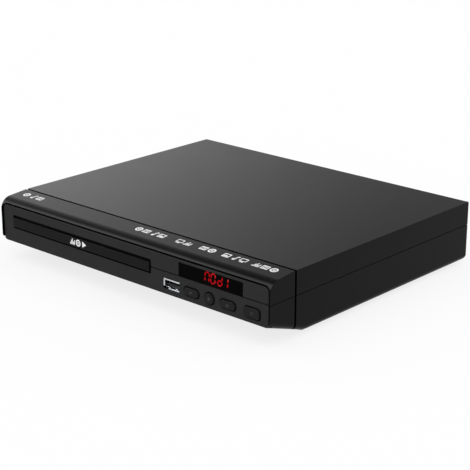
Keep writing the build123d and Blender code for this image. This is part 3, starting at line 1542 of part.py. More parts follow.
os.makedirs("parts", exist_ok=True)
for name, shape in nodes.items():
    export_step(shape, "parts/" + name + ".step")
print("nodes", len(nodes), "body", body_width, body_depth, body_height, "tray travel", tray_travel)
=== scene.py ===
import bpy
import bmesh
import math
import random
from mathutils import Matrix, Vector


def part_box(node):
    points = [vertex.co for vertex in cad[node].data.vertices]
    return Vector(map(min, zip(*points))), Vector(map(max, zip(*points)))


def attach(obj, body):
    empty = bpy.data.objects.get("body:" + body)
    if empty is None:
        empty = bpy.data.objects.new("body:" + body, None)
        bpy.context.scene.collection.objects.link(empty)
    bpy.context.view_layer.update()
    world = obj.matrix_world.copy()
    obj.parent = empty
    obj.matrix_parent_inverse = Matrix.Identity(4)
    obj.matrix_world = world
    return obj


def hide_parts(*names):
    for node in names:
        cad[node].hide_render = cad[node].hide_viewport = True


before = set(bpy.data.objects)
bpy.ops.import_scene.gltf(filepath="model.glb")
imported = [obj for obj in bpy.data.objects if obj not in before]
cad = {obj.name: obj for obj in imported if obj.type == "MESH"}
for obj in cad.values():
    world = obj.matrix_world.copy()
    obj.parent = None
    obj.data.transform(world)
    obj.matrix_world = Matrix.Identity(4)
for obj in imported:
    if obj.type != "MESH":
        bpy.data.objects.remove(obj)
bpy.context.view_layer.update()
print("frame loaded:", len(cad), "nodes")

mm = 0.001


# Camera and studio

view = {
    "lens": 108.17,         # millimetres
    "sensorWidth": 36,
    "farthest": 50,         # metres
    "place": (0.6075, -0.6723, 0.3248),
    "azimuth": 42.2,        # degrees round from the front
    "elevation": 18.78,
    "roll": 0.09,
}


def makeCamera():
    az, el, roll = (math.radians(view[key]) for key in ("azimuth", "elevation", "roll"))
    back = Vector((math.sin(az) * math.cos(el), -math.cos(az) * math.cos(el), math.sin(el)))
    right = Vector((math.cos(az), math.sin(az), 0))
    turn = Matrix((right, back.cross(right), back)).transposed() @ Matrix.Rotation(roll, 3, "Z")
    data = bpy.data.cameras.new("camera")
    data.lens = view["lens"]
    data.sensor_width = view["sensorWidth"]
    data.clip_end = view["farthest"]
    camera = bpy.data.objects.new("camera", data)
    camera.matrix_world = Matrix.Translation(view["place"]) @ turn.to_4x4()
    bpy.context.scene.collection.objects.link(camera)
    bpy.context.scene.camera = camera


def toLinear(hexColour):
    # an sRGB hex colour as the linear values that the shaders work in
    channels = [int(hexColour[i:i + 2], 16) / 255 for i in (1, 3, 5)]
    return tuple(c / 12.92 if c <= 0.04045 else ((c + 0.055) / 1.055) ** 2.4 for c in channels) + (1.0,)


def addNode(owner, kind, links=None, values=None, stops=None, **settings):
    # one shader node, with its settings, its fixed inputs, what feeds the others and its ramp's stops
    tree = owner.node_tree
    item = tree.nodes.new(kind)
    for name, value in settings.items():
        setattr(item, name, value)
    for socket, value in (values or {}).items():
        item.inputs[socket].default_value = value
    for socket, source in (links or {}).items():
        tree.links.new(source, item.inputs[socket])
    if stops:
        while len(item.color_ramp.elements) < len(stops):
            item.color_ramp.elements.new(0.5)
        for stop, (place, colour) in zip(item.color_ramp.elements, stops):
            stop.position = place
            stop.color = colour
    return item


studio = {
    "floor": "#fbfbfb",
    "floorSize": 16.0,
    "sky": 0.84,
    "sun": 0.62,
    "sunWidth": 60,
    "sunTilt": (30, 0, 25),
    "paperGlow": 0.80,      # how much of the paper is lit from behind, so that it looks white
    # what gloss mirrors: height above the horizon and grey
    "mirrored": [(0.0, 0.60), (0.24, 0.72), (0.35, 0.22), (0.45, 0.68), (0.52, 0.5), (0.62, 0.0), (1.0, 0.2)],
    # softboxes that only gloss shows: where each stands, the cosines of its soft edge, and its glow;
    # the left one gives the lid its slope of tone, the front one the pale line under the brow
    "softboxes": [((-0.98, 0.16, 0.12), (0.68, 1.0), 2.7), ((-0.63, -0.50, 0.59), (0.93, 0.985), 10.0)],
}
white = {"Color": (1, 1, 1, 1)}


def makeWorld():
    # soft even light; what glossy surfaces mirror is drawn apart, and the eye sees white
    world = bpy.data.worlds.new("studio")
    world.use_nodes = True
    bpy.context.scene.world = world
    world.node_tree.nodes.clear()
    ray = addNode(world, "ShaderNodeLightPath").outputs
    heading = addNode(world, "ShaderNodeTexCoord").outputs["Generated"]
    height = addNode(world, "ShaderNodeSeparateXYZ", {"Vector": heading})
    ramp = addNode(world, "ShaderNodeValToRGB", {"Fac": height.outputs["Z"]},
                   stops=[(place, (grey, grey, grey, 1)) for place, grey in studio["mirrored"]])
    mirrored = addNode(world, "ShaderNodeBackground", {"Color": ramp.outputs["Color"]}, {"Strength": 1.0})
    for place, (low, high), glow in studio["softboxes"]:
        facing = addNode(world, "ShaderNodeVectorMath", {0: heading}, {1: Vector(place).normalized()},
                         operation="DOT_PRODUCT")
        edge = addNode(world, "ShaderNodeMapRange", {"Value": facing.outputs["Value"]},
                       {"From Min": low, "From Max": high, "To Min": 0.0, "To Max": glow},
                       interpolation_type="SMOOTHSTEP")
        box = addNode(world, "ShaderNodeBackground", {"Strength": edge.outputs["Result"]}, white)
        mirrored = addNode(world, "ShaderNodeAddShader", {0: mirrored.outputs[0], 1: box.outputs[0]})
    even = addNode(world, "ShaderNodeBackground", values={**white, "Strength": studio["sky"]})
    plain = addNode(world, "ShaderNodeBackground", values={**white, "Strength": 1.0})
    glossy = addNode(world, "ShaderNodeMixShader",
                     {0: ray["Is Glossy Ray"], 1: even.outputs[0], 2: mirrored.outputs[0]})
    through = addNode(world, "ShaderNodeMath", {0: ray["Is Camera Ray"], 1: ray["Is Transmission Ray"]},
                      operation="MAXIMUM")
    seen = addNode(world, "ShaderNodeMixShader",
                   {0: through.outputs[0], 1: glossy.outputs[0], 2: plain.outputs[0]})
    addNode(world, "ShaderNodeOutputWorld", {"Surface": seen.outputs[0]})


def makeFloor():
    # a matt white sheet on a light table: seen by the eye or in gloss it glows, and its shadow stays pale
    half = studio["floorSize"] / 2
    corners = [(-half, -half, 0), (half, -half, 0), (half, half, 0), (-half, half, 0)]
    mesh = bpy.data.meshes.new("floor")
    mesh.from_pydata(corners, [], [(0, 1, 2, 3)])
    floor = bpy.data.objects.new("floor", mesh)
    bpy.context.scene.collection.objects.link(floor)
    paper, shader = newFinish("studio paper, matt", studio["floor"], 0.9, specular=0.0)
    ray = addNode(paper, "ShaderNodeLightPath").outputs
    direct = addNode(paper, "ShaderNodeMath", {0: ray["Is Camera Ray"], 1: ray["Is Glossy Ray"]},
                     operation="MAXIMUM")
    byEye = addNode(paper, "ShaderNodeMath", {0: direct.outputs[0], 1: ray["Is Transmission Ray"]},
                    operation="MAXIMUM")
    share = addNode(paper, "ShaderNodeMath", {0: byEye.outputs[0]}, {1: studio["paperGlow"]},
                    operation="MULTIPLY")
    glow = addNode(paper, "ShaderNodeEmission", values={**white, "Strength": 1.0})
    mix = addNode(paper, "ShaderNodeMixShader",
                  {0: share.outputs[0], 1: shader.outputs[0], 2: glow.outputs[0]})
    feed(paper, paper.node_tree.nodes["Material Output"], "Surface", mix.outputs[0])
    mesh.materials.append(paper)


def makeSun():
    data = bpy.data.lights.new("overhead", "SUN")
    data.energy = studio["sun"]
    data.angle = math.radians(studio["sunWidth"])
    data.specular_factor = 0.0    # the softboxes in the world are what gloss shows
    lamp = bpy.data.objects.new("overhead", data)
    lamp.rotation_euler = [math.radians(a) for a in studio["sunTilt"]]
    bpy.context.scene.collection.objects.link(lamp)


def newFinish(name, colour, roughness, metallic=0.0, specular=0.5, sockets=None):
    # a material and its shader
    material = bpy.data.materials.new(name)
    material.use_nodes = True
    shader = material.node_tree.nodes["Principled BSDF"]
    shader.inputs["Base Color"].default_value = toLinear(colour)
    shader.inputs["Roughness"].default_value = roughness
    shader.inputs["Metallic"].default_value = metallic
    shader.inputs["Specular IOR Level"].default_value = specular
    for socket, value in (sockets or {}).items():
        shader.inputs[socket].default_value = value
    return material, shader


def feed(material, item, socket, source):
    material.node_tree.links.new(source, item.inputs[socket])


makeCamera()
bpy.context.scene.view_settings.view_transform = "Standard"
makeWorld()
makeFloor()
makeSun()
print("camera, floor and lights made")


# Finishes. Object coordinates are metres, so every pattern is worked out from millimetres.

def coordinates(material, stretch=(1, 1, 1)):
    place = addNode(material, "ShaderNodeTexCoord")
    return addNode(material, "ShaderNodeMapping", {"Vector": place.outputs["Object"]},
                   {"Scale": stretch}).outputs["Vector"]


def noise(material, size, detail, where, roughness=0.5):
    # uneven patches, size in millimetres
    return addNode(material, "ShaderNodeTexNoise", {"Vector": where},
                   {"Scale": 1 / (size * mm), "Detail": detail, "Roughness": roughness}).outputs["Fac"]


def varyTone(material, shader, colour, spread, size, where):
    # a slow drift between a slightly darker and a slightly paler tone; size in millimetres
    darker, paler = ([min(1, c * (1 + way * spread)) for c in toLinear(colour)[:3]] + [1] for way in (-1, 1))
    ramp = addNode(material, "ShaderNodeValToRGB", {"Fac": noise(material, size, 4.0, where)},
                   stops=[(0.3, darker), (0.7, paler)])
    feed(material, shader, "Base Color", ramp.outputs["Color"])


def varyGloss(material, shader, low, high, size, where):
    spread = addNode(material, "ShaderNodeMapRange", {"Value": noise(material, size, 3.0, where)},
                     {"From Min": 0.25, "From Max": 0.75, "To Min": low, "To Max": high})
    feed(material, shader, "Roughness", spread.outputs["Result"])


def addRelief(material, shader, height, depth, edge=0.0):
    # bump from a height, depth in millimetres; edge is the radius of the softened edges
    links = {"Height": height}
    if edge:
        softened = addNode(material, "ShaderNodeBevel", values={"Radius": edge * mm}, samples=4)
        links["Normal"] = softened.outputs[0]
    bump = addNode(material, "ShaderNodeBump", links, {"Distance": depth * mm, "Strength": 1.0})
    feed(material, shader, "Normal", bump.outputs["Normal"])


def paintSeamShade(material, shader, reach):
    # painted shade: the colour is darkened by ambient occlusion in narrow seams, where little light gets in
    # and less comes out; reach in millimetres
    tone = shader.inputs["Base Color"].links[0].from_socket
    gap = addNode(material, "ShaderNodeAmbientOcclusion", values={"Distance": reach * mm}, samples=6)
    deep = addNode(material, "ShaderNodeMath", {0: gap.outputs["AO"]}, {1: 3.0}, operation="POWER")
    toned = addNode(material, "ShaderNodeVectorMath", {0: tone, "Scale": deep.outputs[0]}, operation="SCALE")
    feed(material, shader, "Base Color", toned.outputs["Vector"])


def addSurface(made, colour=None, tone=None, seamShade=None, gloss=None, skin=None, edge=0.0, lines=None,
               streaks=(1, 1, 1)):
    # Gives a new finish its detail and returns its material. tone: how far the colour drifts, and over
    # what length. gloss: how far the roughness falls and rises, and over what length. skin: the size,
    # detail and depth of its grain. lines stretch the skin and streaks all three. Lengths in millimetres.
    material, shader = made
    where = coordinates(material, streaks)
    if tone:
        varyTone(material, shader, colour, *tone, where)
    # seamShade: how far painted shade, darkening the colour in seams, reaches; in millimetres
    if seamShade:
        paintSeamShade(material, shader, seamShade)
    if gloss:
        roughness = shader.inputs["Roughness"].default_value
        varyGloss(material, shader, roughness - gloss[0], roughness + gloss[1], gloss[2], where)
    if skin:
        size, detail, depth = skin
        along = coordinates(material, lines) if lines else where
        addRelief(material, shader, noise(material, size, detail, along, 0.6), depth, edge)
    return material


def addStripes(material, shader, colours, pitch, direction, share=0.5, relief=0.0):
    # even stripes of two colours across a direction; pitch in millimetres, share is how much the first takes
    place = addNode(material, "ShaderNodeTexCoord")
    along = addNode(material, "ShaderNodeVectorMath", {0: place.outputs["Object"]},
                    {1: Vector(direction).normalized()}, operation="DOT_PRODUCT")
    turns = addNode(material, "ShaderNodeMath", {0: along.outputs["Value"]}, {1: 1 / (pitch * mm)},
                    operation="MULTIPLY")
    fraction = addNode(material, "ShaderNodeMath", {0: turns.outputs[0]}, operation="FRACT")
    ramp = addNode(material, "ShaderNodeValToRGB", {"Fac": fraction.outputs[0]},
                   stops=[(0.0, toLinear(colours[0])), (share, toLinear(colours[1]))])
    ramp.color_ramp.interpolation = "CONSTANT"
    feed(material, shader, "Base Color", ramp.outputs["Color"])
    if relief:
        addRelief(material, shader, fraction.outputs[0], relief)
    return material


def sparkErodedAbs(name, colour, roughness=0.40, specular=0.05, pitch=0.6, pits=0.012, edge=0.25):
    # injection-moulded ABS from a spark-eroded mould: a dull, very finely pitted skin with soft edges, and
    # painted shade darkening its seams.
    # The pits are really 0.1 mm apart, and are drawn 0.6 mm apart so that they show.
    return addSurface(newFinish(name, colour, roughness, specular=specular), colour, tone=(0.06, 12),
                      seamShade=2.0, gloss=(0.01, 0.02, 25), skin=(pitch, 3.0, pits), edge=edge)


def polishedMouldAbs(name, colour, roughness, specular):
    # ABS from a polished mould: smoother and a little shinier, with a faint flow of tone
    return addSurface(newFinish(name, colour, roughness, specular=specular), colour, tone=(0.06, 9),
                      gloss=(0.03, 0.06, 12), skin=(2.5, 1.0, 0.006), edge=0.15)


def smokedAcrylic(name, tint):
    # cast acrylic with a dark smoke tint: black by day, and lit segments show through it
    sockets = {"Transmission Weight": 1.0, "IOR": 1.03, "Coat Weight": 0.05}
    return addSurface(newFinish(name, tint, 0.03, specular=0.12, sockets=sockets), skin=(14, 0.0, 0.002))


def blackNylon(name, colour, roughness=0.5):
    # glass-filled nylon, moulded: dull black with a grainy skin
    return addSurface(newFinish(name, colour, roughness, specular=0.25), colour, tone=(0.18, 5),
                      gloss=(0.08, 0.10, 4), skin=(0.45, 4.0, 0.02), edge=0.12)


def acetal(name, colour):
    # natural acetal, moulded: milky, waxy and a little see-through at thin edges
    sockets = {"Subsurface Weight": 0.25, "Subsurface Scale": 0.6 * mm}
    return addSurface(newFinish(name, colour, 0.32, specular=0.35, sockets=sockets), colour,
                      tone=(0.04, 6), skin=(1.5, 2.0, 0.01), edge=0.1)


def rolledSteel(name, colour, roughness, lines=(1, 30, 1)):
    # zinc-plated rolled sheet: grey with fine lines along the rolling and cloudy patches
    return addSurface(newFinish(name, colour, roughness, metallic=1.0), colour, tone=(0.10, 8),
                      gloss=(0.08, 0.10, 6), skin=(1.2, 3.0, 0.008), edge=0.1, lines=lines)


def platedScrew(name, colour, roughness):
    # zinc-plated screw steel: bright, with small spots and turned rings too fine to see
    return addSurface(newFinish(name, colour, roughness, metallic=1.0), colour, tone=(0.14, 1.6),
                      gloss=(0.07, 0.12, 1.0), skin=(0.3, 3.0, 0.006), edge=0.08)


def groundSteel(name, colour):
    # centreless-ground rod: mirror bright, with rings round it
    return addSurface(newFinish(name, colour, 0.16, metallic=1.0), gloss=(0.06, 0.08, 0.8),
                      skin=(3.0, 2.0, 0.003), streaks=(1, 40, 1))


def diecastZinc(name, colour):
    # die-cast zinc, tumbled: soft grey metal with a fine orange peel
    return addSurface(newFinish(name, colour, 0.42, metallic=1.0), colour, tone=(0.12, 4),
                      gloss=(0.08, 0.10, 3), skin=(0.7, 3.0, 0.02), edge=0.15)


def mouldedRubber(name, colour):
    # moulded rubber: dead black-grey, dusty where it is handled
    return addSurface(newFinish(name, colour, 0.78, specular=0.2), colour, tone=(0.22, 3),
                      gloss=(0.08, 0.12, 2), skin=(0.35, 4.0, 0.02))


def solderMask(name, colour, trackColour):
    # glass-epoxy board under solder mask: tracks show paler, in rows 2.4 mm apart with a few lanes across
    material, shader = newFinish(name, colour, 0.32, specular=0.45)
    base = toLinear(colour)
    tracks = addNode(material, "ShaderNodeTexBrick",
                     {"Vector": coordinates(material, (1 / (4.0 * mm), 1 / (2.4 * mm), 1))},
                     {"Color1": base, "Color2": toLinear(trackColour), "Mortar": base, "Scale": 1.0,
                      "Mortar Size": 0.16, "Brick Width": 1.9, "Row Height": 0.5, "Bias": -0.35})
    shade = addNode(material, "ShaderNodeMapRange", {"Value": noise(material, 9, 2.0, coordinates(material))},
                    {"From Min": 0.3, "From Max": 0.7, "To Min": 0.85, "To Max": 1.1})
    toned = addNode(material, "ShaderNodeVectorMath",
                    {0: tracks.outputs["Color"], "Scale": shade.outputs["Result"]}, operation="SCALE")
    feed(material, shader, "Base Color", toned.outputs["Vector"])
    addRelief(material, shader, tracks.outputs["Fac"], -0.03)
    return material


def mouldedEpoxy(name, colour):
    # transfer-moulded epoxy chip body: matt near-black with a sandy skin
    return addSurface(newFinish(name, colour, 0.62, specular=0.3), colour, tone=(0.15, 1.5),
                      skin=(0.2, 4.0, 0.015), edge=0.08)


def stackedLaminations(name, colours):
    # transformer core of stamped steel sheets, varnished: dark with the sheet edges as fine lines.
    # The sheets are 0.35 mm thick, and are drawn 0.7 mm thick.
    return addStripes(*newFinish(name, colours[0], 0.45, metallic=0.6), colours, 0.7, (0, 1, 0), 0.62, 0.05)


def woundTape(name, colour):
    # polyester tape round a winding: glossy yellow with the turns showing as low steps
    return addSurface(newFinish(name, colour, 0.22, specular=0.5), colour, tone=(0.09, 5),
                      skin=(6.0, 2.0, 0.08), streaks=(1, 1, 6))


def shrinkSleeve(name, colour, markColour):
    # PVC sleeve shrunk on a can: satin, with the pale stripe of the negative side
    made = newFinish(name, colour, 0.28, specular=0.45)
    addStripes(*made, (colour, markColour), 26.0, (1, 0.4, 0), 0.86)
    return addSurface(made, skin=(1.8, 2.0, 0.01))


def extrudedAluminium(name, colour):
    # extruded and anodised aluminium: satin black metal with die lines up the fins
    return addSurface(newFinish(name, colour, 0.38, metallic=0.9), colour, tone=(0.16, 1.2),
                      gloss=(0.08, 0.10, 0.8), skin=(0.5, 3.0, 0.02), edge=0.08, streaks=(1, 1, 0.05))


def stampedBrass(name, colour, roughness=0.24):
    # gold-flashed or nickelled contact brass: bright, with fine stamping streaks
    return addSurface(newFinish(name, colour, roughness, metallic=1.0), colour, tone=(0.08, 1.2),
                      gloss=(0.08, 0.08, 1.0), skin=(0.6, 2.0, 0.004), edge=0.05)


def colouredAbs(name, colour):
    # self-coloured ABS insert: clear, strong colour with a semi-gloss skin
    return addSurface(newFinish(name, colour, 0.28, specular=0.4), colour, tone=(0.06, 2),
                      gloss=(0.06, 0.08, 2), skin=(0.8, 2.0, 0.008), edge=0.1)


def filmCable(name, colours):
    # polyester film cable: pale film with a tinned conductor every millimetre
    return addStripes(*newFinish(name, colours[0], 0.35, specular=0.4), colours, 1.0, (1, 0, 0), 0.6, 0.02)


def softPvc(name, colour):
    # plasticised PVC: greyish black, slightly greasy sheen
    return addSurface(newFinish(name, colour, 0.45, specular=0.35), colour, tone=(0.12, 4),
                      skin=(1.0, 3.0, 0.02))


def coatedLens(name, colour):
    # moulded lens with a bluish anti-reflection coat
    sockets = {"Transmission Weight": 0.7, "Coat Weight": 0.6, "Coat Tint": toLinear("#8fa8ff")}
    return addSurface(newFinish(name, colour, 0.04, specular=0.6, sockets=sockets), colour, tone=(0.1, 1))


def clearGlass(name, colour):
    # drawn glass tube: clear with a faint green edge
    return addSurface(newFinish(name, colour, 0.03, sockets={"Transmission Weight": 0.9}),
                      skin=(4.0, 0.0, 0.01))


def glowingEpoxy(name, colour, hotColour, glow):
    # lit LED segment: diffusing red epoxy, paler where the chips sit behind it, 3 mm apart
    material, shader = newFinish(name, colour, 0.5, sockets={"Emission Strength": glow})
    spot = addNode(material, "ShaderNodeTexVoronoi", {"Vector": coordinates(material)},
                   {"Scale": 1 / (3.0 * mm)}, feature="F1")
    ramp = addNode(material, "ShaderNodeValToRGB", {"Fac": spot.outputs["Distance"]},
                   stops=[(0.0, toLinear(hotColour)), (0.42, toLinear(colour))])
    feed(material, shader, "Emission Color", ramp.outputs["Color"])
    return material


def padPrint(name, colour, roughness=0.5, specular=0.3):
    # pad-printed ink: flat and slightly uneven, as the pad leaves it
    return addSurface(newFinish(name, colour, roughness, specular=specular), colour, tone=(0.05, 1.2),
                      skin=(0.3, 2.0, 0.004))


finishes = {
    "caseAbs": sparkErodedAbs("case ABS, spark-eroded", "#0f0f0f", 0.25),
    "faceAbs": sparkErodedAbs("face plate ABS, spark-eroded fine", "#2c2c2c", 0.42, 0.03,
                              pitch=0.4, pits=0.008),
    "doorAbs": sparkErodedAbs("door ABS, spark-eroded fine", "#161616", 0.42, 0.04, pitch=0.4, pits=0.008),
    "keyAbs": polishedMouldAbs("key ABS, polished mould", "#1d1d1d", 0.34, 0.06),
    "window": smokedAcrylic("window acrylic, smoked", "#2c0e0e"),
    "rubber": mouldedRubber("foot rubber, moulded", "#17171a"),
    "panelSteel": rolledSteel("rear panel steel, painted black", "#2a2a2c", 0.45),
    "screwSteel": platedScrew("screw steel, black zinc", "#3a3a3d", 0.35),
    "brightScrew": platedScrew("screw steel, bright zinc", "#c9ccd2", 0.28),
    "loaderNylon": blackNylon("loader nylon, moulded", "#1d1e20"),
    "bridgeSteel": rolledSteel("bridge steel, zinc-plated", "#b9bcc0", 0.34, (30, 1, 1)),
    "clamperNylon": blackNylon("clamper nylon, moulded", "#232427", 0.42),
    "gearAcetal": acetal("gear acetal, natural", "#e8e5da"),
    "motorCan": rolledSteel("motor can, deep drawn", "#a9adb2", 0.22, (1, 1, 25)),
    "beltRubber": mouldedRubber("belt rubber, ground", "#101012"),
    "trayAbs": sparkErodedAbs("tray ABS, spark-eroded", "#26272a", 0.45, 0.2, pitch=0.5, edge=0.2),
    "deckSteel": rolledSteel("deck steel, stamped", "#a4a7aa", 0.40),
    "rodSteel": groundSteel("guide rod, ground", "#d6d8da"),
    "turntableNylon": blackNylon("turntable nylon, moulded", "#202124", 0.38),
    "ringRubber": mouldedRubber("turntable ring rubber", "#0f0f10"),
    "pickupZinc": diecastZinc("pickup body, die-cast zinc", "#8d9095"),
    "lens": coatedLens("lens, coated", "#cfd8f0"),
    "greenBoard": solderMask("board, green solder mask", "#0d3b22", "#17603a"),
    "brownBoard": solderMask("board, phenolic paper", "#7a5326", "#8a6534"),
    "chipEpoxy": mouldedEpoxy("chip epoxy, moulded", "#1a1a1c"),
    "sinkAluminium": extrudedAluminium("heat sink, extruded and anodised", "#2c2d30"),
    "core": stackedLaminations("transformer core, stacked laminations", ("#3c3b39", "#6b6964")),
    "tape": woundTape("winding tape, polyester", "#c9a21b"),
    "canSleeve": shrinkSleeve("capacitor sleeve, shrunk PVC", "#16203a", "#aeb6c4"),
    "canTop": rolledSteel("capacitor can top, drawn aluminium", "#c8cbcf", 0.26, (1, 1, 1)),
    "fuseGlass": clearGlass("fuse tube, drawn glass", "#e6efe9"),
    "nickel": stampedBrass("shell steel, nickel-plated", "#c4c7cb", 0.22),
    "socketNylon": blackNylon("socket nylon, moulded", "#161618", 0.45),
    "brass": stampedBrass("contact brass, gold flash", "#d4af55"),
    "tin": stampedBrass("legs, tin-plated", "#b8bbbf", 0.3),
    "jackYellow": colouredAbs("jack insert ABS, yellow", "#e0b310"),
    "jackWhite": colouredAbs("jack insert ABS, white", "#e4e3de"),
    "jackRed": colouredAbs("jack insert ABS, red", "#b3161c"),
    "ledFace": mouldedEpoxy("display face, black epoxy", "#0b0b0c"),
    "ledOff": colouredAbs("segment, unlit", "#1d0f10"),
    "ledOn": glowingEpoxy("segment, lit", "#dc1030", "#ffb0b4", 26.0),
    "infraredEpoxy": colouredAbs("receiver epoxy, dark violet", "#1c1522"),
    "ribbon": filmCable("ribbon, polyester film", ("#d9dade", "#8f949c")),
    "leadPvc": softPvc("lead PVC, grey", "#2b2c30"),
    "whiteInk": padPrint("white ink, pad-printed", "#f2f2f2"),
    # painted shade: the pad-print finish made near-black, for the shadowed gap at each end of the rim round
    # the face
    "rimShadeBlack": padPrint("painted shade, black", "#020202", 0.6, 0.02),
    "greyInk": padPrint("grey ink, pad-printed", "#303030"),
    "ceramic": colouredAbs("ceramic chip part, tan", "#8c6f4e"),
}

nodeFinish = {
    "caseAbs": ["upper_case", "lower_case", "front_bezel"],
    "faceAbs": ["face_plate"],
    "doorAbs": ["tray_door"],
    "keyAbs": ["play_button", "stop_button", "eject_button", "power_button"],
    "window": ["display_window"],
    "rubber": ["rubber_feet"],
    "panelSteel": ["rear_panel"],
    "screwSteel": ["case_screws", "panel_screws"],
    "brightScrew": ["loader_screws", "board_screws", "control_screws"],
    "loaderNylon": ["loader_frame", "cam_slider"],
    "bridgeSteel": ["clamper_bridge"],
    "clamperNylon": ["clamper"],
    "gearAcetal": ["motor_pulley", "pulley_gear", "tray_gear"],
    "motorCan": ["loading_motor", "spindle_motor", "sled_motor"],
    "beltRubber": ["drive_belt"],
    "trayAbs": ["tray"],
    "deckSteel": ["deck"],
    "rodSteel": ["guide_rods", "lead_screw"],
    "turntableNylon": ["turntable"],
    "ringRubber": ["turntable_ring"],
    "pickupZinc": ["pickup"],
    "lens": ["pickup_lens"],
    "greenBoard": ["decoder_board", "control_board"],
    "brownBoard": ["power_board", "av_board"],
    "chipEpoxy": ["decoder_chips"],
    "sinkAluminium": ["heat_sink"],
    "core": ["transformer"],
    "canSleeve": ["capacitors"],
    "fuseGlass": ["mains_fuse"],
    "nickel": ["usb_socket", "hdmi_socket", "jack_sleeves"],
    "socketNylon": ["socket_tongues", "mains_inlet", "jack_block", "tact_switches"],
    "brass": ["inlet_pins"],
    "jackYellow": ["jack_insert_yellow"],
    "jackWhite": ["jack_insert_white"],
    "jackRed": ["jack_insert_red"],
    "ledFace": ["led_display"],
    "infraredEpoxy": ["ir_receiver"],
    "ribbon": ["control_ribbon"],
    "leadPvc": ["signal_lead"],
}


def dressNode(node, material):
    mesh = cad[node].data
    for i in range(len(mesh.materials)):
        mesh.materials[i] = material
    if not mesh.materials:
        mesh.materials.append(material)


for finish, names in nodeFinish.items():
    for node in names:
        dressNode(node, finishes[finish])
print("finishes made:", len(finishes))


# Tools for pieces. A piece is made in world places, in metres, and rides on a body.

def newPiece(name, build, finish, body, replaced=(), smooth=0):
    # build draws into an empty bmesh; sides meeting under the angle smooth, in degrees, shade as one
    shape = bmesh.new()
    build(shape)
    bmesh.ops.recalc_face_normals(shape, faces=shape.faces)
    mesh = bpy.data.meshes.new(name)
    shape.to_mesh(mesh)
    shape.free()
    if smooth:
        mesh.shade_smooth()
        mesh.set_sharp_from_angle(angle=math.radians(smooth))
    piece = bpy.data.objects.new(name, mesh)
    bpy.context.scene.collection.objects.link(piece)
    mesh.materials.append(finishes[finish])
    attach(piece, body)
    if replaced:
        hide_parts(*replaced)


def middle(box):
    # the middle of a box, given by its corners or by a node's name
    low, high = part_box(box) if isinstance(box, str) else box
    return [(low[i] + high[i]) / 2 for i in range(3)]


def addBlock(shape, low, high, edge=0.0):
    # a block between two corners, with its edges cut back by edge
    made = bmesh.ops.create_cube(shape, size=1.0)["verts"]
    size = [high[i] - low[i] for i in range(3)]
    for vertex in made:
        vertex.co = Vector([low[i] + (vertex.co[i] + 0.5) * size[i] for i in range(3)])
    if edge:
        edges = {e for vertex in made for e in vertex.link_edges}
        bmesh.ops.bevel(shape, geom=list(edges), offset=edge, segments=2, profile=0.6, affect="EDGES")


def addLathe(shape, profile, centre, axis="Z", sides=48):
    # turns (radius, height) points round an axis through centre; a radius of 0 closes the form
    place = {"Z": lambda r, h, a: (r * math.cos(a), r * math.sin(a), h),
             "Y": lambda r, h, a: (r * math.cos(a), h, r * math.sin(a))}[axis]
    rings = []
    for radius, height in profile:
        turns = [2 * math.pi * n / sides for n in range(sides if radius else 1)]
        rings.append([shape.verts.new(Vector(centre) + Vector(place(radius, height, a))) for a in turns])
    for lower, upper in zip(rings, rings[1:]):
        for n in range(sides):
            corners = [lower[n % len(lower)], lower[(n + 1) % len(lower)],
                       upper[(n + 1) % len(upper)], upper[n % len(upper)]]
            corners = list(dict.fromkeys(corners))
            if len(corners) > 2:
                shape.faces.new(corners)


def addLoft(shape, rings, capped=True):
    # a skin over rings of equally many points, closed by its first and its last
    rings = [[shape.verts.new(point) for point in ring] for ring in rings]
    pairs = list(zip(rings, rings[1:]))
    if capped:
        shape.faces.new(rings[0])
        shape.faces.new(rings[-1][::-1])
    else:
        pairs.append((rings[-1], rings[0]))
    for lower, upper in pairs:
        for n in range(len(lower)):
            m = (n + 1) % len(lower)
            shape.faces.new((lower[n], lower[m], upper[m], upper[n]))


def addSlab(shape, outline, place, thickness):
    # a flat outline of (u, v) points, set by place (a function to a world point) and given a thickness
    addLoft(shape, [[place(u, v, level) for u, v in outline] for level in (0.0, thickness)])


def addWire(shape, points, radius, sides=8):
    # a round wire along a few points, with mitred corners
    points = [Vector(p) for p in points]
    rings = []
    for n, point in enumerate(points):
        before = (point - points[n - 1]).normalized() if n else (points[1] - point).normalized()
        after = (points[n + 1] - point).normalized() if n + 1 < len(points) else before
        heading = (before + after).normalized()
        side = (side - heading * side.dot(heading) if n else heading.orthogonal()).normalized()
        up = heading.cross(side)
        stretch = radius / max(0.5, heading.dot(before))
        turns = [2 * math.pi * k / sides for k in range(sides)]
        rings.append([point + stretch * (side * math.cos(a) + up * math.sin(a)) for a in turns])
    addLoft(shape, rings)


def roundedOutline(width, height, radius, steps=4):
    points = []
    for quarter, (sx, sz) in enumerate(((1, 1), (-1, 1), (-1, -1), (1, -1))):
        for n in range(steps + 1):
            angle = math.pi / 2 * (quarter + n / steps)
            points.append((sx * (width / 2 - radius) + radius * math.cos(angle),
                           sz * (height / 2 - radius) + radius * math.sin(angle)))
    return points


def spread(count, pitch):
    # places in a row about 0
    return [(n - (count - 1) / 2) * pitch for n in range(count)]


# Display behind the window: a black block with four characters of seven segments

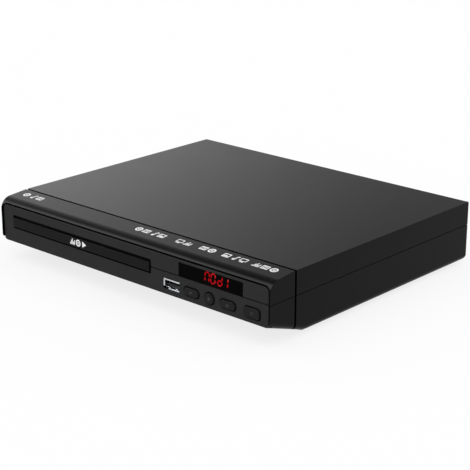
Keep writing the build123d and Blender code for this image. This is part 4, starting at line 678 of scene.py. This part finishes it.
display = {
    "middles": (66.6, 71.4, 77.0, 81.6),   # across, the middle of each character in millimetres
    "rise": -1.0 * mm,                     # from the middle of the block
    "height": 6.0 * mm,
    "width": 3.3 * mm,
    "stroke": 0.85 * mm,
    "gap": 0.35,                           # how far a segment ends before its corner, in strokes
    "lean": 0.10,
    "characters": ("abcef", "abcdef", "bcdeg", "bc"),
    "proud": 0.06 * mm,
    "pins": 6,
    "pinPitch": 2.54 * mm,
    "pinRadius": 0.25 * mm,
    "pinInset": 1.2 * mm,                  # from the block's top and bottom to its rows of pins
    "pinReach": (0.2 * mm, 2.8 * mm),      # into the block and behind it
}
segmentEnds = {
    # ends of each bar, in half widths and half heights
    "a": ((-1, 1), (1, 1)),
    "b": ((1, 1), (1, 0)),
    "c": ((1, 0), (1, -1)),
    "d": ((-1, -1), (1, -1)),
    "e": ((-1, 0), (-1, -1)),
    "f": ((-1, 1), (-1, 0)),
    "g": ((-1, 0), (1, 0)),
}


def segmentOutline(ends):
    # one bar with pointed ends
    stroke = display["stroke"]
    start, end = (Vector((u * display["width"] / 2, v * display["height"] / 2)) for u, v in ends)
    along = (end - start).normalized()
    across = Vector((-along.y, along.x)) * stroke / 2
    gap = along * stroke * display["gap"]
    tip = along * stroke / 2
    a, b = start + gap, end - gap
    return [a, a + tip - across, b - tip - across, b, b - tip + across, a + tip + across]


def makeDisplay():
    low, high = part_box("led_display")
    rise = middle("led_display")[2] + display["rise"]

    def drawSegments(lit):
        def build(shape):
            for across, letters in zip(display["middles"], display["characters"]):
                def place(u, v, t, x=across * mm):
                    return (x + u + display["lean"] * v, low[1] - t, rise + v)

                for letter, ends in segmentEnds.items():
                    if (letter in letters) == lit:
                        addSlab(shape, segmentOutline(ends), place, display["proud"])
        return build

    newPiece("display_segments_lit", drawSegments(True), "ledOn", "case")
    newPiece("display_segments_dark", drawSegments(False), "ledOff", "case")

    def drawPins(shape):
        # two rows of pins from the block through the board
        inside, outside = display["pinReach"]
        for row in (low[2] + display["pinInset"], high[2] - display["pinInset"]):
            for across in spread(display["pins"], display["pinPitch"]):
                x = middle("led_display")[0] + across
                addWire(shape, [(x, high[1] - inside, row), (x, high[1] + outside, row)],
                        display["pinRadius"], 6)

    newPiece("display_pins", drawPins, "tin", "case")


# USB socket: a folded shell with flared lips, springs and contacts; its tongue is one of the solids

usb = {
    "width": 12.9 * mm,
    "height": 5.5 * mm,
    "wall": 0.35 * mm,
    "corner": 0.9 * mm,
    "rim": (0.15 * mm, 0.08 * mm),            # how far back and in the shell's end is rounded
    "recess": 1.3 * mm,                       # from the face of the socket to the end of the shell
    "shortInside": 0.6 * mm,                  # how much further the shell reaches back outside than inside
    # flat lips at the mouth in millimetres: from, to, and how wide each is
    "lips": {"left": (-1.7, 2.9, 1.0), "top": (-6.4, 6.6, 0.95), "bottom": (-2.6, 6.4, 0.8)},
    "lipWall": 0.25 * mm,
    "lipRim": (0.12 * mm, 0.9),               # depth of its rounded inner edge, and its flat's share
    "lipPlate": 0.65,                         # share of its width that is thin; the rest runs back inside
    # pressed springs in millimetres: depth behind the face and rise from the wall, then the thickness
    "spring": ((1.2, 0.05), (3.0, 0.45), (4.4, 0.40), (7.5, 0.02)),
    "springWall": 0.2,
    "springWidth": 1.8 * mm,
    "contacts": 4,
    "contactPitch": 2.3 * mm,
    "contactWidth": 1.0 * mm,
    "contactEnds": (2.4 * mm, 1.2 * mm),      # in from the socket's front and rear
    "contactRise": (-2.05 * mm, -1.8 * mm),   # from the socket's middle
    "contactEdge": 0.05 * mm,
}


def makeUsb():
    low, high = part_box("usb_socket")
    x, _, z = middle("usb_socket")
    front, back = low[1], high[1]
    mouth = front + usb["recess"]

    def drawShell(shape):
        # outside and inside skins of the folded tube, which ends behind the face
        wall, (rim, cut) = usb["wall"], usb["rim"]
        rings = []
        for y, inset in ((back, 0), (mouth + rim, 0), (mouth, cut), (mouth, wall - cut),
                         (mouth + rim, wall), (back - usb["shortInside"], wall)):
            outline = roundedOutline(usb["width"] - 2 * inset, usb["height"] - 2 * inset,
                                     usb["corner"] - inset * 0.8)
            rings.append([(x + u, y, z + v) for u, v in outline])
        addLoft(shape, rings)
        # lips on three sides, bent out flat at the face and cut short of the corners
        sides = {"left": (-1, 0, high[0] - x), "top": (0, 1, high[2] - z), "bottom": (0, -1, high[2] - z)}
        for name, (dx, dz, reach) in sides.items():
            first, last, wide = (value * mm for value in usb["lips"][name])
            thick, thin = usb["lipWall"], usb["lipPlate"] * wide
            rim, flat = usb["lipRim"]
            profile = ((-wide, usb["recess"]), (-wide, rim), (-wide * flat, 0.0), (0.0, 0.0),
                       (0.0, thick), (-thin, thick), (-thin, usb["recess"]))
            addLoft(shape, [[(x + dx * (reach + out) + along * abs(dz), front + depth,
                              z + dz * (reach + out) + along * abs(dx)) for out, depth in profile]
                            for along in (first, last)])

    newPiece("usb_shell", drawShell, "nickel", "case", ("usb_socket",), smooth=35)

    def drawSprings(shape):
        # two pressed springs in the floor of the shell, and two in its roof
        half, wall = usb["springWidth"] / 2, usb["springWall"]
        inside = usb["height"] / 2 - usb["wall"]
        for side in (-1, 1):
            cx = x + side * usb["width"] / 4
            for up in (1, -1):
                addLoft(shape, [[(cx + s * half, front + depth * mm, z - up * inside + up * (rise + t) * mm)
                                 for s, t in ((-1, 0.0), (1, 0.0), (1, wall), (-1, wall))]
                                for depth, rise in usb["spring"]])

    newPiece("usb_springs", drawSprings, "nickel", "case")

    def drawContacts(shape):
        half = usb["contactWidth"] / 2
        (first, last), (under, over) = usb["contactEnds"], usb["contactRise"]
        for across in spread(usb["contacts"], usb["contactPitch"]):
            addBlock(shape, (x + across - half, front + first, z + under),
                     (x + across + half, back - last, z + over), usb["contactEdge"])

    newPiece("usb_contacts", drawContacts, "brass", "case")


makeDisplay()
makeUsb()
print("display and sockets in front made")


# Generic pictograms in ink, where the real one is printed, and painted shade lines down the rim

def ringOutline(outer, inner, start=0, sweep=360, steps=20):
    # quads round a ring or part of one
    turns = [math.radians(start + sweep * n / steps) for n in range(steps + 1)]
    return [[(outer * math.cos(a), outer * math.sin(a)), (outer * math.cos(b), outer * math.sin(b)),
             (inner * math.cos(b), inner * math.sin(b)), (inner * math.cos(a), inner * math.sin(a))]
            for a, b in zip(turns, turns[1:])]


def barOutline(x0, y0, x1, y1):
    return [[(x0, y0), (x1, y0), (x1, y1), (x0, y1)]]


def frameOutline(x, y0, y1, wall):
    # four bars round an opening
    return (barOutline(-x, y0, x, y0 + wall) + barOutline(-x, y1 - wall, x, y1)
            + barOutline(-x, y0 + wall, wall - x, y1 - wall) + barOutline(x - wall, y0 + wall, x, y1 - wall))


pictograms = {
    # drawn about their middle, one unit high from -0.5 to 0.5
    "disc": ringOutline(0.5, 0.30) + ringOutline(0.18, 0.07),
    "play": [[(-0.35, -0.45), (0.45, 0.0), (-0.35, 0.45)]],
    "stop": barOutline(-0.38, -0.38, 0.38, 0.38),
    "eject": barOutline(-0.45, -0.45, 0.45, -0.25) + [[(-0.45, -0.12), (0.45, -0.12), (0.0, 0.42)]],
    "power": ringOutline(0.46, 0.32, 120, 300) + barOutline(-0.07, 0.0, 0.07, 0.52),
    "note": barOutline(0.08, -0.30, 0.24, 0.50) + barOutline(0.08, 0.28, 0.46, 0.50)
            + [[(x + 0.02, y - 0.30) for x, y in quad] for quad in ringOutline(0.22, 0.0, steps=12)],
    "film": barOutline(-0.5, 0.26, 0.5, 0.42) + barOutline(-0.5, -0.42, 0.5, -0.26)
            + [q for n in range(4) for q in barOutline(-0.5 + n * 0.29, -0.26, -0.37 + n * 0.29, 0.26)],
    "picture": frameOutline(0.5, -0.44, 0.44, 0.14)
               + [[(-0.34, -0.26), (0.34, -0.26), (0.10, 0.08), (0.0, -0.04), (-0.12, 0.14)]],
    "levels": [q for n, h in enumerate((0.3, 0.7, 1.0, 0.5, 0.8))
               for q in barOutline(-0.48 + n * 0.21, -0.45, -0.34 + n * 0.21, -0.45 + 0.9 * h)],
    "screen": frameOutline(0.5, -0.28, 0.46, 0.12)
              + barOutline(-0.28, -0.50, 0.28, -0.38) + barOutline(-0.08, -0.38, 0.08, -0.28),
}

marks = {
    # each row on the bezel: across and depth of its middle in millimetres, and its pictograms
    "rows": [(-104.0, 15.1, ("disc", "note", "film")), (7.9, 15.5, ("disc", "film", "note", "picture")),
             (36.7, 15.8, ("screen", "levels")), (56.4, 16.3, ("film", "disc")),
             (78.6, 16.1, ("picture", "note", "screen")), (102.6, 15.9, ("levels", "film", "disc"))],
    "size": 5.4 * mm,
    "pitch": 6.7 * mm,
    "door": ("levels", "disc", "play"),
    "doorSize": 4.6 * mm,
    "keySize": 2.3 * mm,
    "flatPitch": 1.2,       # on the door, in sizes
    # thickness of the ink, and of the painted shade lines
    "ink": 0.02 * mm,
    # the painted shade line on the rim: width, from and to above the floor, and how much shorter it is
    # outside, at the case's round edge
    "rimShadeLine": (0.75 * mm, 15.3 * mm, 36.4 * mm, 1.1 * mm),
    "rimShadeInset": 0.1 * mm,
}


def addPictograms(shape, names, size, pitch, place):
    # a row of pictograms about place's origin
    for name, across in zip(names, spread(len(names), pitch)):
        for quad in pictograms[name]:
            addSlab(shape, [(across + u * size, v * size) for u, v in quad], place, marks["ink"])


def bezelTop():
    # the bezel's top falls to the front: its slope and its height over y = 0, from its largest upper face
    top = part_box("front_bezel")[1][2]
    planes = {}
    for face in cad["front_bezel"].data.polygons:
        slope = -face.normal.y / max(face.normal.z, 0.01)
        if face.normal.z > 0.9 and slope > 0.02 and face.center.z > top - 3 * mm:
            key = (round(slope, 3), round(face.center.z - slope * face.center.y, 5))
            planes[key] = planes.get(key, 0) + face.area
    return max(planes, key=planes.get)


def printMarksAndRimShade():
    low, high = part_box("front_bezel")
    front = low[1]
    fall, level = bezelTop()

    def drawRows(shape):
        for across, depth, names in marks["rows"]:
            def place(u, v, t, cx=across * mm, cy=front + depth * mm):
                return (cx + u, cy + v, level + (cy + v) * fall + t)

            addPictograms(shape, names, marks["size"], marks["pitch"], place)

    newPiece("bezel_pictograms", drawRows, "whiteInk", "case")

    def drawRimShade(shape):
        # painted shade: a black line down each end of the rim round the face, where the gap beside the face
        # plate lies in shadow
        wide, bottom, top, shorter = marks["rimShadeLine"]
        for outer, way in ((low[0] + marks["rimShadeInset"], 1), (high[0] - marks["rimShadeInset"], -1)):
            inner = outer + way * wide
            outline = [(outer, bottom + shorter), (inner, bottom), (inner, top), (outer, top)][::way]
            addSlab(shape, outline, lambda u, v, t: (u, front - t, v), marks["ink"])

    newPiece("rim_shade_lines", drawRimShade, "rimShadeBlack", "case")

    def drawOn(node, names, size):
        # on the front of a node
        y, (cx, _, cz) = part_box(node)[0][1], middle(node)
        return lambda shape: addPictograms(shape, names, size, size * marks["flatPitch"],
                                           lambda u, v, t: (cx + u, y - t, cz + v))

    newPiece("door_pictogram", drawOn("tray_door", marks["door"], marks["doorSize"]), "whiteInk", "tray")
    for name in ("play", "stop", "eject", "power"):
        node = name + "_button"
        newPiece(name + "_key_mark", drawOn(node, (name,), marks["keySize"]), "greyInk", node)


printMarksAndRimShade()
print("marks printed")


# Feet, lathed with a grip pattern under them

foot = {
    "radius": 7.0 * mm,
    "edge": 0.8 * mm,
    "grooves": 3,
    "groove": 0.35 * mm,
    "dimple": 1.6 * mm,      # radius of the hollow in the middle
    "hollow": 0.5 * mm,      # its depth
    "cone": 0.3 * mm,        # width of its sloping edge
    "coneFoot": 0.2 * mm,    # height at which the slope ends
}


def solidBoxes(node):
    # the boxes of a node's separate solids, found by walking its joined faces
    shape = bmesh.new()
    shape.from_mesh(cad[node].data)
    bmesh.ops.remove_doubles(shape, verts=shape.verts, dist=0.001 * mm)
    boxes = []
    left = set(shape.verts)
    while left:
        island, front = [], [left.pop()]
        while front:
            vertex = front.pop()
            island.append(vertex.co.copy())
            for edge in vertex.link_edges:
                other = edge.other_vert(vertex)
                if other in left:
                    left.remove(other)
                    front.append(other)
        boxes.append([[pick(p[i] for p in island) for i in range(3)] for pick in (min, max)])
    shape.free()
    return sorted(boxes, key=lambda box: [round(value, 5) for value in box[0]])


def makeFeet():
    def build(shape):
        r, edge, g, dimple = (foot[key] for key in ("radius", "edge", "groove", "dimple"))
        for box in solidBoxes("rubber_feet"):
            x, y, _ = middle(box)
            top = box[1][2]
            hollow = foot["hollow"]
            profile = [(0, hollow), (dimple - foot["cone"], hollow), (dimple, foot["coneFoot"])]
            for n in range(foot["grooves"]):
                at = dimple + (n + 0.5) * (r - dimple - edge) / foot["grooves"]
                profile += [(at - g, 0.0), (at - g / 2, g), (at + g / 2, g), (at + g, 0.0)]
            profile += [(r - edge, 0.0), (r - edge * 0.35, edge * 0.3), (r, edge), (r, top), (0, top)]
            addLathe(shape, profile, (x, y, 0.0))

    newPiece("moulded_feet", build, "rubber", "case", ("rubber_feet",), smooth=35)


# Loader and pickup

screwThread = {
    "lead": 3.0 * mm,
    "depth": 0.45 * mm,
    "land": 0.22,       # half the land's width, in turns
    "flank": 3.2,       # how steeply the sides fall, in depths a turn
    "steps": 16,        # rings a turn
    "sides": 24,
}


def makeLeadScrew():
    low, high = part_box("lead_screw")
    x, _, z = middle("lead_screw")
    radius = (high[0] - low[0]) / 2
    lead, land, flank = (screwThread[key] for key in ("lead", "land", "flank"))
    steps, sides = screwThread["steps"], screwThread["sides"]

    def build(shape):
        # one worm thread, as rings whose points rise and fall with the turn, between plain ends
        count = round((high[1] - low[1]) / (lead / steps))
        rings = []
        for k in range(count + 1):
            y = low[1] + (high[1] - low[1]) * k / count
            depth = screwThread["depth"] if steps // 2 <= k <= count - steps // 2 else 0.0
            ring = []
            for n in range(sides):
                turn = (n / sides - (y - low[1]) / lead) % 1.0
                r = radius - depth * min(1.0, max(0.0, flank * (abs(turn - 0.5) - land)))
                angle = 2 * math.pi * n / sides
                ring.append((x + r * math.cos(angle), y, z + r * math.sin(angle)))
            rings.append(ring)
        addLoft(shape, rings)

    newPiece("lead_screw_thread", build, "rodSteel", "lead_screw", ("lead_screw",), smooth=50)


pickupParts = {
    # millimetres from the lens's axis and from the pickup's top
    "carrier": (5.4, 3.0, 0.35),                           # outer and inner reach, and height
    "magnet": ((6.5, -2.6, -0.2), (8.7, 2.6, 0.5)),        # corners of the one on the right
    "wire": ((4.6, 1.0), (5.2, 10.4)),                     # ends of the one on the right
    "wireLevels": (0.12, 0.30),
    "wireRadius": 0.07,
    "bridge": ((-7.0, 10.2, -0.1), (7.0, 12.2, 0.5)),
    "pad": ((-0.4, 13.4, -0.05), (0.4, 15.6, 0.35)),       # a terminal of the connector
    "pads": 6,
    "padPitch": 2.0,
    "edges": {"magnet": 0.12, "bridge": 0.15, "pad": 0.08},
}


def makePickupParts():
    x, y, _ = middle("pickup_lens")
    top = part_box("pickup")[1][2]

    def at(point):
        # a point by the lens, in metres
        return (x + point[0] * mm, y + point[1] * mm, top + point[2] * mm)

    def drawCarrier(shape):
        # lens carrier round the lens, with its cut corners, clear of the lens itself
        outer, inner, height = pickupParts["carrier"]
        corners = ((1, 0.4), (0.4, 1), (-0.4, 1), (-1, 0.4), (-1, -0.4), (-0.4, -1), (0.4, -1), (1, -0.4))
        outside = [(s * outer, t * outer) for s, t in corners]
        turns = [math.radians(22.5 + 45 * n) for n in range(8)]
        inside = [(inner * math.cos(a), inner * math.sin(a)) for a in turns]
        sections = ((outside, 0.0), (outside, height), (inside, height), (inside, 0.0))
        addLoft(shape, [[at((u, v, level)) for u, v in ring] for ring, level in sections], capped=False)

    newPiece("lens_carrier", drawCarrier, "socketNylon", "pickup")

    def drawMagnets(shape):
        low, high = pickupParts["magnet"]
        edge = pickupParts["edges"]["magnet"] * mm
        addBlock(shape, at((-high[0], low[1], low[2])), at((-low[0], high[1], high[2])), edge)
        addBlock(shape, at(low), at(high), edge)

    newPiece("lens_magnets", drawMagnets, "nickel", "pickup")

    def drawWires(shape):
        # four suspension wires to a small bridge behind the lens
        for side in (-1, 1):
            for level in pickupParts["wireLevels"]:
                addWire(shape, [at((side * u, v, level)) for u, v in pickupParts["wire"]],
                        pickupParts["wireRadius"] * mm, 6)

    newPiece("lens_wires", drawWires, "brass", "pickup")

    def drawBoard(shape):
        low, high = pickupParts["bridge"]
        edges = pickupParts["edges"]
        addBlock(shape, at(low), at(high), edges["bridge"] * mm)
        low, high = pickupParts["pad"]
        for u in spread(pickupParts["pads"], pickupParts["padPitch"]):
            addBlock(shape, at((u + low[0], low[1], low[2])), at((u + high[0], high[1], high[2])),
                     edges["pad"] * mm)

    newPiece("pickup_connector", drawBoard, "brownBoard", "pickup")


loaderParts = {
    # millimetres
    "terminal": ((-0.3, -9.8, 1.3), (0.3, -8.6, 3.4)),     # from the motor's axis and its underside
    "terminalReach": 5.0,
    "terminalEdge": 0.08,
    # (radius, height) round the clamper's axis, from discDrop below its top
    "disc": ((0, 0), (1.6, 0), (1.6, 0.1), (10.2, 0.1), (10.2, 0.45), (9.6, 0.55), (2.4, 0.55), (1.8, 0.35),
             (0, 0.35)),
    "discDrop": 0.8,
    # (radius, height) of a tray pad, from the tray's top
    "pad": ((0, -0.1), (2.2, -0.1), (2.2, 0.15), (1.8, 0.3), (0, 0.3)),
    "padReach": 54.0,                                      # across and along from the disc's middle
    "discDepth": 65.7,                                     # from the tray's front to the disc's middle
}


def inMetres(profile, rise=0.0):
    return [(radius * mm, rise + height * mm) for radius, height in profile]


def makeLoaderParts():
    def drawTerminals(shape):
        x, y, _ = middle("loading_motor")
        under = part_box("loading_motor")[0][2]
        for side in (-1, 1):
            low, high = [(x + (side * loaderParts["terminalReach"] + u) * mm, y + v * mm, under + w * mm)
                         for u, v, w in loaderParts["terminal"]]
            addBlock(shape, low, high, loaderParts["terminalEdge"] * mm)

    newPiece("motor_terminals", drawTerminals, "brass", "case")

    def drawDisc(shape):
        # plated steel disc in the clamper's dish, which the spindle's magnet pulls
        x, y, _ = middle("clamper")
        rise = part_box("clamper")[1][2] - loaderParts["discDrop"] * mm
        addLathe(shape, inMetres(loaderParts["disc"], rise), (x, y, 0))

    newPiece("clamper_steel_disc", drawDisc, "bridgeSteel", "clamper", smooth=35)

    def drawPads(shape):
        # four low pads in the tray's corners that keep a disc's edge off the plastic
        low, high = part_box("tray")
        x, y = middle("tray")[0], low[1] + loaderParts["discDepth"] * mm
        for dx in (-loaderParts["padReach"] * mm, loaderParts["padReach"] * mm):
            for dy in (-loaderParts["padReach"] * mm, loaderParts["padReach"] * mm):
                addLathe(shape, inMetres(loaderParts["pad"], high[2]), (x + dx, y + dy, 0), sides=24)

    newPiece("tray_pads", drawPads, "ringRubber", "tray", smooth=35)


# Boards: chips with legs, cans, windings and small parts

chip = {
    "inset": 0.9 * mm,       # of the body from the tips of the legs
    "lift": 0.25 * mm,
    "edge": 0.25 * mm,
    "pitch": 0.8 * mm,
    "corner": 2.4 * mm,      # length of a side that has no legs
    "leg": ((1.1, 0.9), (0.55, 0.9), (0.4, 0.15), (0.0, 0.12)),   # in from the tip and up, in millimetres
    "legRadius": 0.14 * mm,
    "dot": 0.5 * mm,
    "dotInset": 2.2 * mm,
    "ink": 0.02 * mm,
}


def makeChips():
    boxes = solidBoxes("decoder_chips")

    def drawBodies(shape):
        inset = chip["inset"]
        for low, high in boxes:
            addBlock(shape, (low[0] + inset, low[1] + inset, low[2] + chip["lift"]),
                     (high[0] - inset, high[1] - inset, high[2]), chip["edge"])

    def drawLegs(shape):
        # a chip that is narrow across has legs on its two long sides only, and the others on all four
        for low, high in boxes:
            size = [high[i] - low[i] for i in range(3)]
            for axis, other in ((0, 1), (1, 0)):
                if axis == 0 and size[0] < 0.8 * size[1]:
                    continue
                count = int((size[axis] - chip["corner"]) / chip["pitch"]) + 1
                for along in spread(count, chip["pitch"]):
                    for side, edge in ((-1, low[other]), (1, high[other])):
                        points = []
                        for reach, rise in chip["leg"]:
                            point = [0, 0, low[2] + rise * mm]
                            point[axis] = (low[axis] + high[axis]) / 2 + along
                            point[other] = edge - side * reach * mm
                            points.append(point)
                        addWire(shape, points, chip["legRadius"], 4)

    newPiece("chip_bodies", drawBodies, "chipEpoxy", "case", ("decoder_chips",))
    newPiece("chip_legs", drawLegs, "tin", "case")

    def drawDots(shape):
        ink, radius, inset = chip["ink"], chip["dot"], chip["dotInset"]
        for low, high in boxes:
            profile = [(0, -ink), (radius, -ink), (radius, ink), (0, ink)]
            addLathe(shape, profile, (low[0] + inset, low[1] + inset, high[2]), sides=20)

    newPiece("chip_dots", drawDots, "greyInk", "case")


can = {
    # millimetres in from the sleeve's radius, and up from its base or from its top
    "base": ((0.5, 0.0), (0.0, 0.4), (0.0, 1.3), (0.45, 1.9), (0.45, 2.3), (0.0, 2.9)),
    "lip": ((0.0, -0.5), (0.35, -0.1), (0.9, -0.1), (0.9, -0.4)),
    "topInset": 0.95,           # of the bare top, from the sleeve's radius
    "topRise": (-0.45, 0.3),    # from the sleeve's top, and how thick
    "score": 8,                 # angle of the cut between two quarters, in degrees
    "scoreHub": 0.25,           # radius at which the four cuts meet
}


def makeCapacitors():
    boxes = solidBoxes("capacitors")

    def drawSleeves(shape):
        for low, high in boxes:
            r = (high[0] - low[0]) / 2
            x, y, _ = middle((low, high))
            profile = [(r - inward * mm, low[2] + rise * mm) for inward, rise in can["base"]]
            profile += [(r - inward * mm, high[2] + rise * mm) for inward, rise in can["lip"]]
            addLathe(shape, [(0, profile[0][1])] + profile + [(0, profile[-1][1])], (x, y, 0))

    newPiece("capacitor_sleeves", drawSleeves, "canSleeve", "case", ("capacitors",), smooth=35)

    def drawTops(shape):
        # the bare can inside the sleeve's lip, in four quarters with the scored safety cross between them
        rise, thick = (value * mm for value in can["topRise"])
        hub = can["scoreHub"] * mm
        for low, high in boxes:
            r = (high[0] - low[0]) / 2 - can["topInset"] * mm
            x, y, _ = middle((low, high))

            def place(u, v, t, x=x, y=y, z=high[2] + rise):
                return (x + u, y + v, z + t)

            for n in range(4):
                start, sweep = 90 * n + can["score"] / 2, 90 - can["score"]
                turns = [math.radians(start + sweep * k / 8) for k in range(9)]
                outline = [(hub * math.cos(turns[4]), hub * math.sin(turns[4]))]
                outline += [(r * math.cos(a), r * math.sin(a)) for a in turns]
                addSlab(shape, outline, place, thick)

    newPiece("capacitor_tops", drawTops, "canTop", "case")


winding = {
    "width": 21.4,           # millimetres
    "height": 11.4,
    "corner": 3.4,
    # out from the core's face, and how much smaller all round
    "bulge": ((-4.6, 0.0), (-0.9, 0.0), (-0.35, 0.35), (-0.05, 1.1)),
}


def makeWindings():
    low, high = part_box("transformer")
    x, _, z = middle("transformer")

    def drawTape(shape):
        # the taped winding bulges out of the core at the front and rear
        outline = roundedOutline(winding["width"] * mm, winding["height"] * mm, winding["corner"] * mm, 6)
        for side, edge in ((-1, low[1]), (1, high[1])):
            rings = []
            for reach, less in winding["bulge"]:
                scale = 1 - less * 2 / winding["height"]
                rings.append([(x + u * scale, edge + side * reach * mm, z + v * scale) for u, v in outline])
            addLoft(shape, rings)

    newPiece("winding_tape", drawTape, "tape", "case", smooth=50)


smallParts = {
    # how many stand on each board
    "boards": {"decoder_board": 46, "power_board": 22, "av_board": 30},
    # long, wide and tall in millimetres
    "sizes": ((1.6, 0.8, 0.6), (2.0, 1.25, 0.7), (3.2, 1.6, 0.8), (4.8, 2.6, 1.7)),
    "capacitorsFrom": 0.75,     # millimetres tall; what is lower is a resistor
    "margin": 5.0 * mm,         # kept clear of the board's edge
    "spare": 1.2 * mm,          # kept clear of other parts
    "above": 12 * mm,           # what starts higher than this over a board takes no place on it
    "tries": 1500,              # at most, for each board
    "seed": 11,
    "edge": 0.08 * mm,
    "end": 0.09,                # half the length of a tinned end, as a share of the part's
    "endPlace": 0.84,           # where its middle is, between the part's middle and its end
    "endSpare": (0.03, 0.04),   # millimetres that it is larger, at the sides and on top
}
standing = ("decoder_chips", "heat_sink", "transformer", "capacitors", "mains_fuse", "mains_inlet",
            "jack_block", "hdmi_socket", "board_screws", "control_ribbon", "signal_lead", "rear_panel")


def takenPlaces(board):
    # boxes of everything that stands on a board, in plan
    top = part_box(board)[1][2]
    taken = []
    for node in standing:
        for low, high in solidBoxes(node):
            # of the ribbon and the lead, only what lies behind the decoder board's front counts
            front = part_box("decoder_board")[0][1] if node in ("control_ribbon", "signal_lead") else low[1]
            if low[2] < top + smallParts["above"]:
                taken.append((low[0], max(low[1], front), high[0], high[1]))
    return taken


def makeSmallParts():
    chance = random.Random(smallParts["seed"])
    parts = []
    margin, spare = smallParts["margin"], smallParts["spare"]
    for board, wanted in smallParts["boards"].items():
        low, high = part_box(board)
        taken = takenPlaces(board)
        placed, tries = 0, 0
        while placed < wanted and tries < smallParts["tries"]:
            tries += 1
            long, wide, tall = chance.choice(smallParts["sizes"])
            if chance.random() < 0.5:
                long, wide = wide, long
            x = chance.uniform(low[0] + margin, high[0] - margin)
            y = chance.uniform(low[1] + margin, high[1] - margin)
            dx, dy = long * mm / 2 + spare, wide * mm / 2 + spare
            box = (x - dx, y - dy, x + dx, y + dy)
            if any(box[0] < t[2] and box[2] > t[0] and box[1] < t[3] and box[3] > t[1] for t in taken):
                continue
            taken.append(box)
            placed += 1
            parts.append((x, y, high[2], long, wide, tall))

    def drawBodies(capacitors):
        def build(shape):
            for x, y, z, long, wide, tall in parts:
                if (tall >= smallParts["capacitorsFrom"]) == capacitors:
                    addBlock(shape, (x - long * mm / 2, y - wide * mm / 2, z),
                             (x + long * mm / 2, y + wide * mm / 2, z + tall * mm), smallParts["edge"])
        return build

    newPiece("small_resistors", drawBodies(False), "chipEpoxy", "case")
    newPiece("small_capacitors", drawBodies(True), "ceramic", "case")

    def drawEnds(shape):
        # tinned ends, a little larger than the part
        around, above = smallParts["endSpare"]
        for x, y, z, *size, tall in parts:
            axis = 0 if size[0] >= size[1] else 1
            half = [size[0] / 2 + around, size[1] / 2 + around]
            half[axis] = size[axis] * smallParts["end"] + around
            for side in (-1, 1):
                place = [x, y]
                place[axis] += side * size[axis] * mm / 2 * smallParts["endPlace"]
                addBlock(shape, (place[0] - half[0] * mm, place[1] - half[1] * mm, z),
                         (place[0] + half[0] * mm, place[1] + half[1] * mm, z + (tall + above) * mm))

    newPiece("small_part_ends", drawEnds, "tin", "case")


# Rear sockets

rear = {
    # millimetres
    "contacts": 19,
    "contactPitch": 0.5,
    "contactLevels": (1.05, -0.25),                          # from the middle, in turn
    "contact": ((-0.14, -8.0, -0.06), (0.14, -2.2, 0.06)),   # across, from the socket's rear, and up
    # (radius, depth) of a phono socket's spring clip, from the insert's rear
    "clip": ((1.15, -7.0), (1.55, -7.0), (1.55, -2.6), (1.25, -2.2), (1.15, -2.6), (1.15, -7.0)),
    "jacks": ("jack_insert_yellow", "jack_insert_white", "jack_insert_red"),
}


def makeRearParts():
    def drawHdmi(shape):
        x, _, z = middle("hdmi_socket")
        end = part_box("hdmi_socket")[1][1]
        for n, across in enumerate(spread(rear["contacts"], rear["contactPitch"])):
            level = rear["contactLevels"][n % 2]
            low, high = [(x + (across + u) * mm, end + v * mm, z + (level + w) * mm)
                         for u, v, w in rear["contact"]]
            addBlock(shape, low, high)

    newPiece("hdmi_contacts", drawHdmi, "brass", "case")

    def drawJackContacts(shape):
        # a spring clip deep in each hole
        for node in rear["jacks"]:
            x, _, z = middle(node)
            addLathe(shape, inMetres(rear["clip"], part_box(node)[1][1]), (x, 0, z), axis="Y", sides=24)

    newPiece("jack_contact_clips", drawJackContacts, "brass", "case", smooth=35)


makeFeet()
makeLeadScrew()
makePickupParts()
makeLoaderParts()
makeChips()
makeCapacitors()
makeWindings()
makeSmallParts()
makeRearParts()
print("pieces inside and behind made")
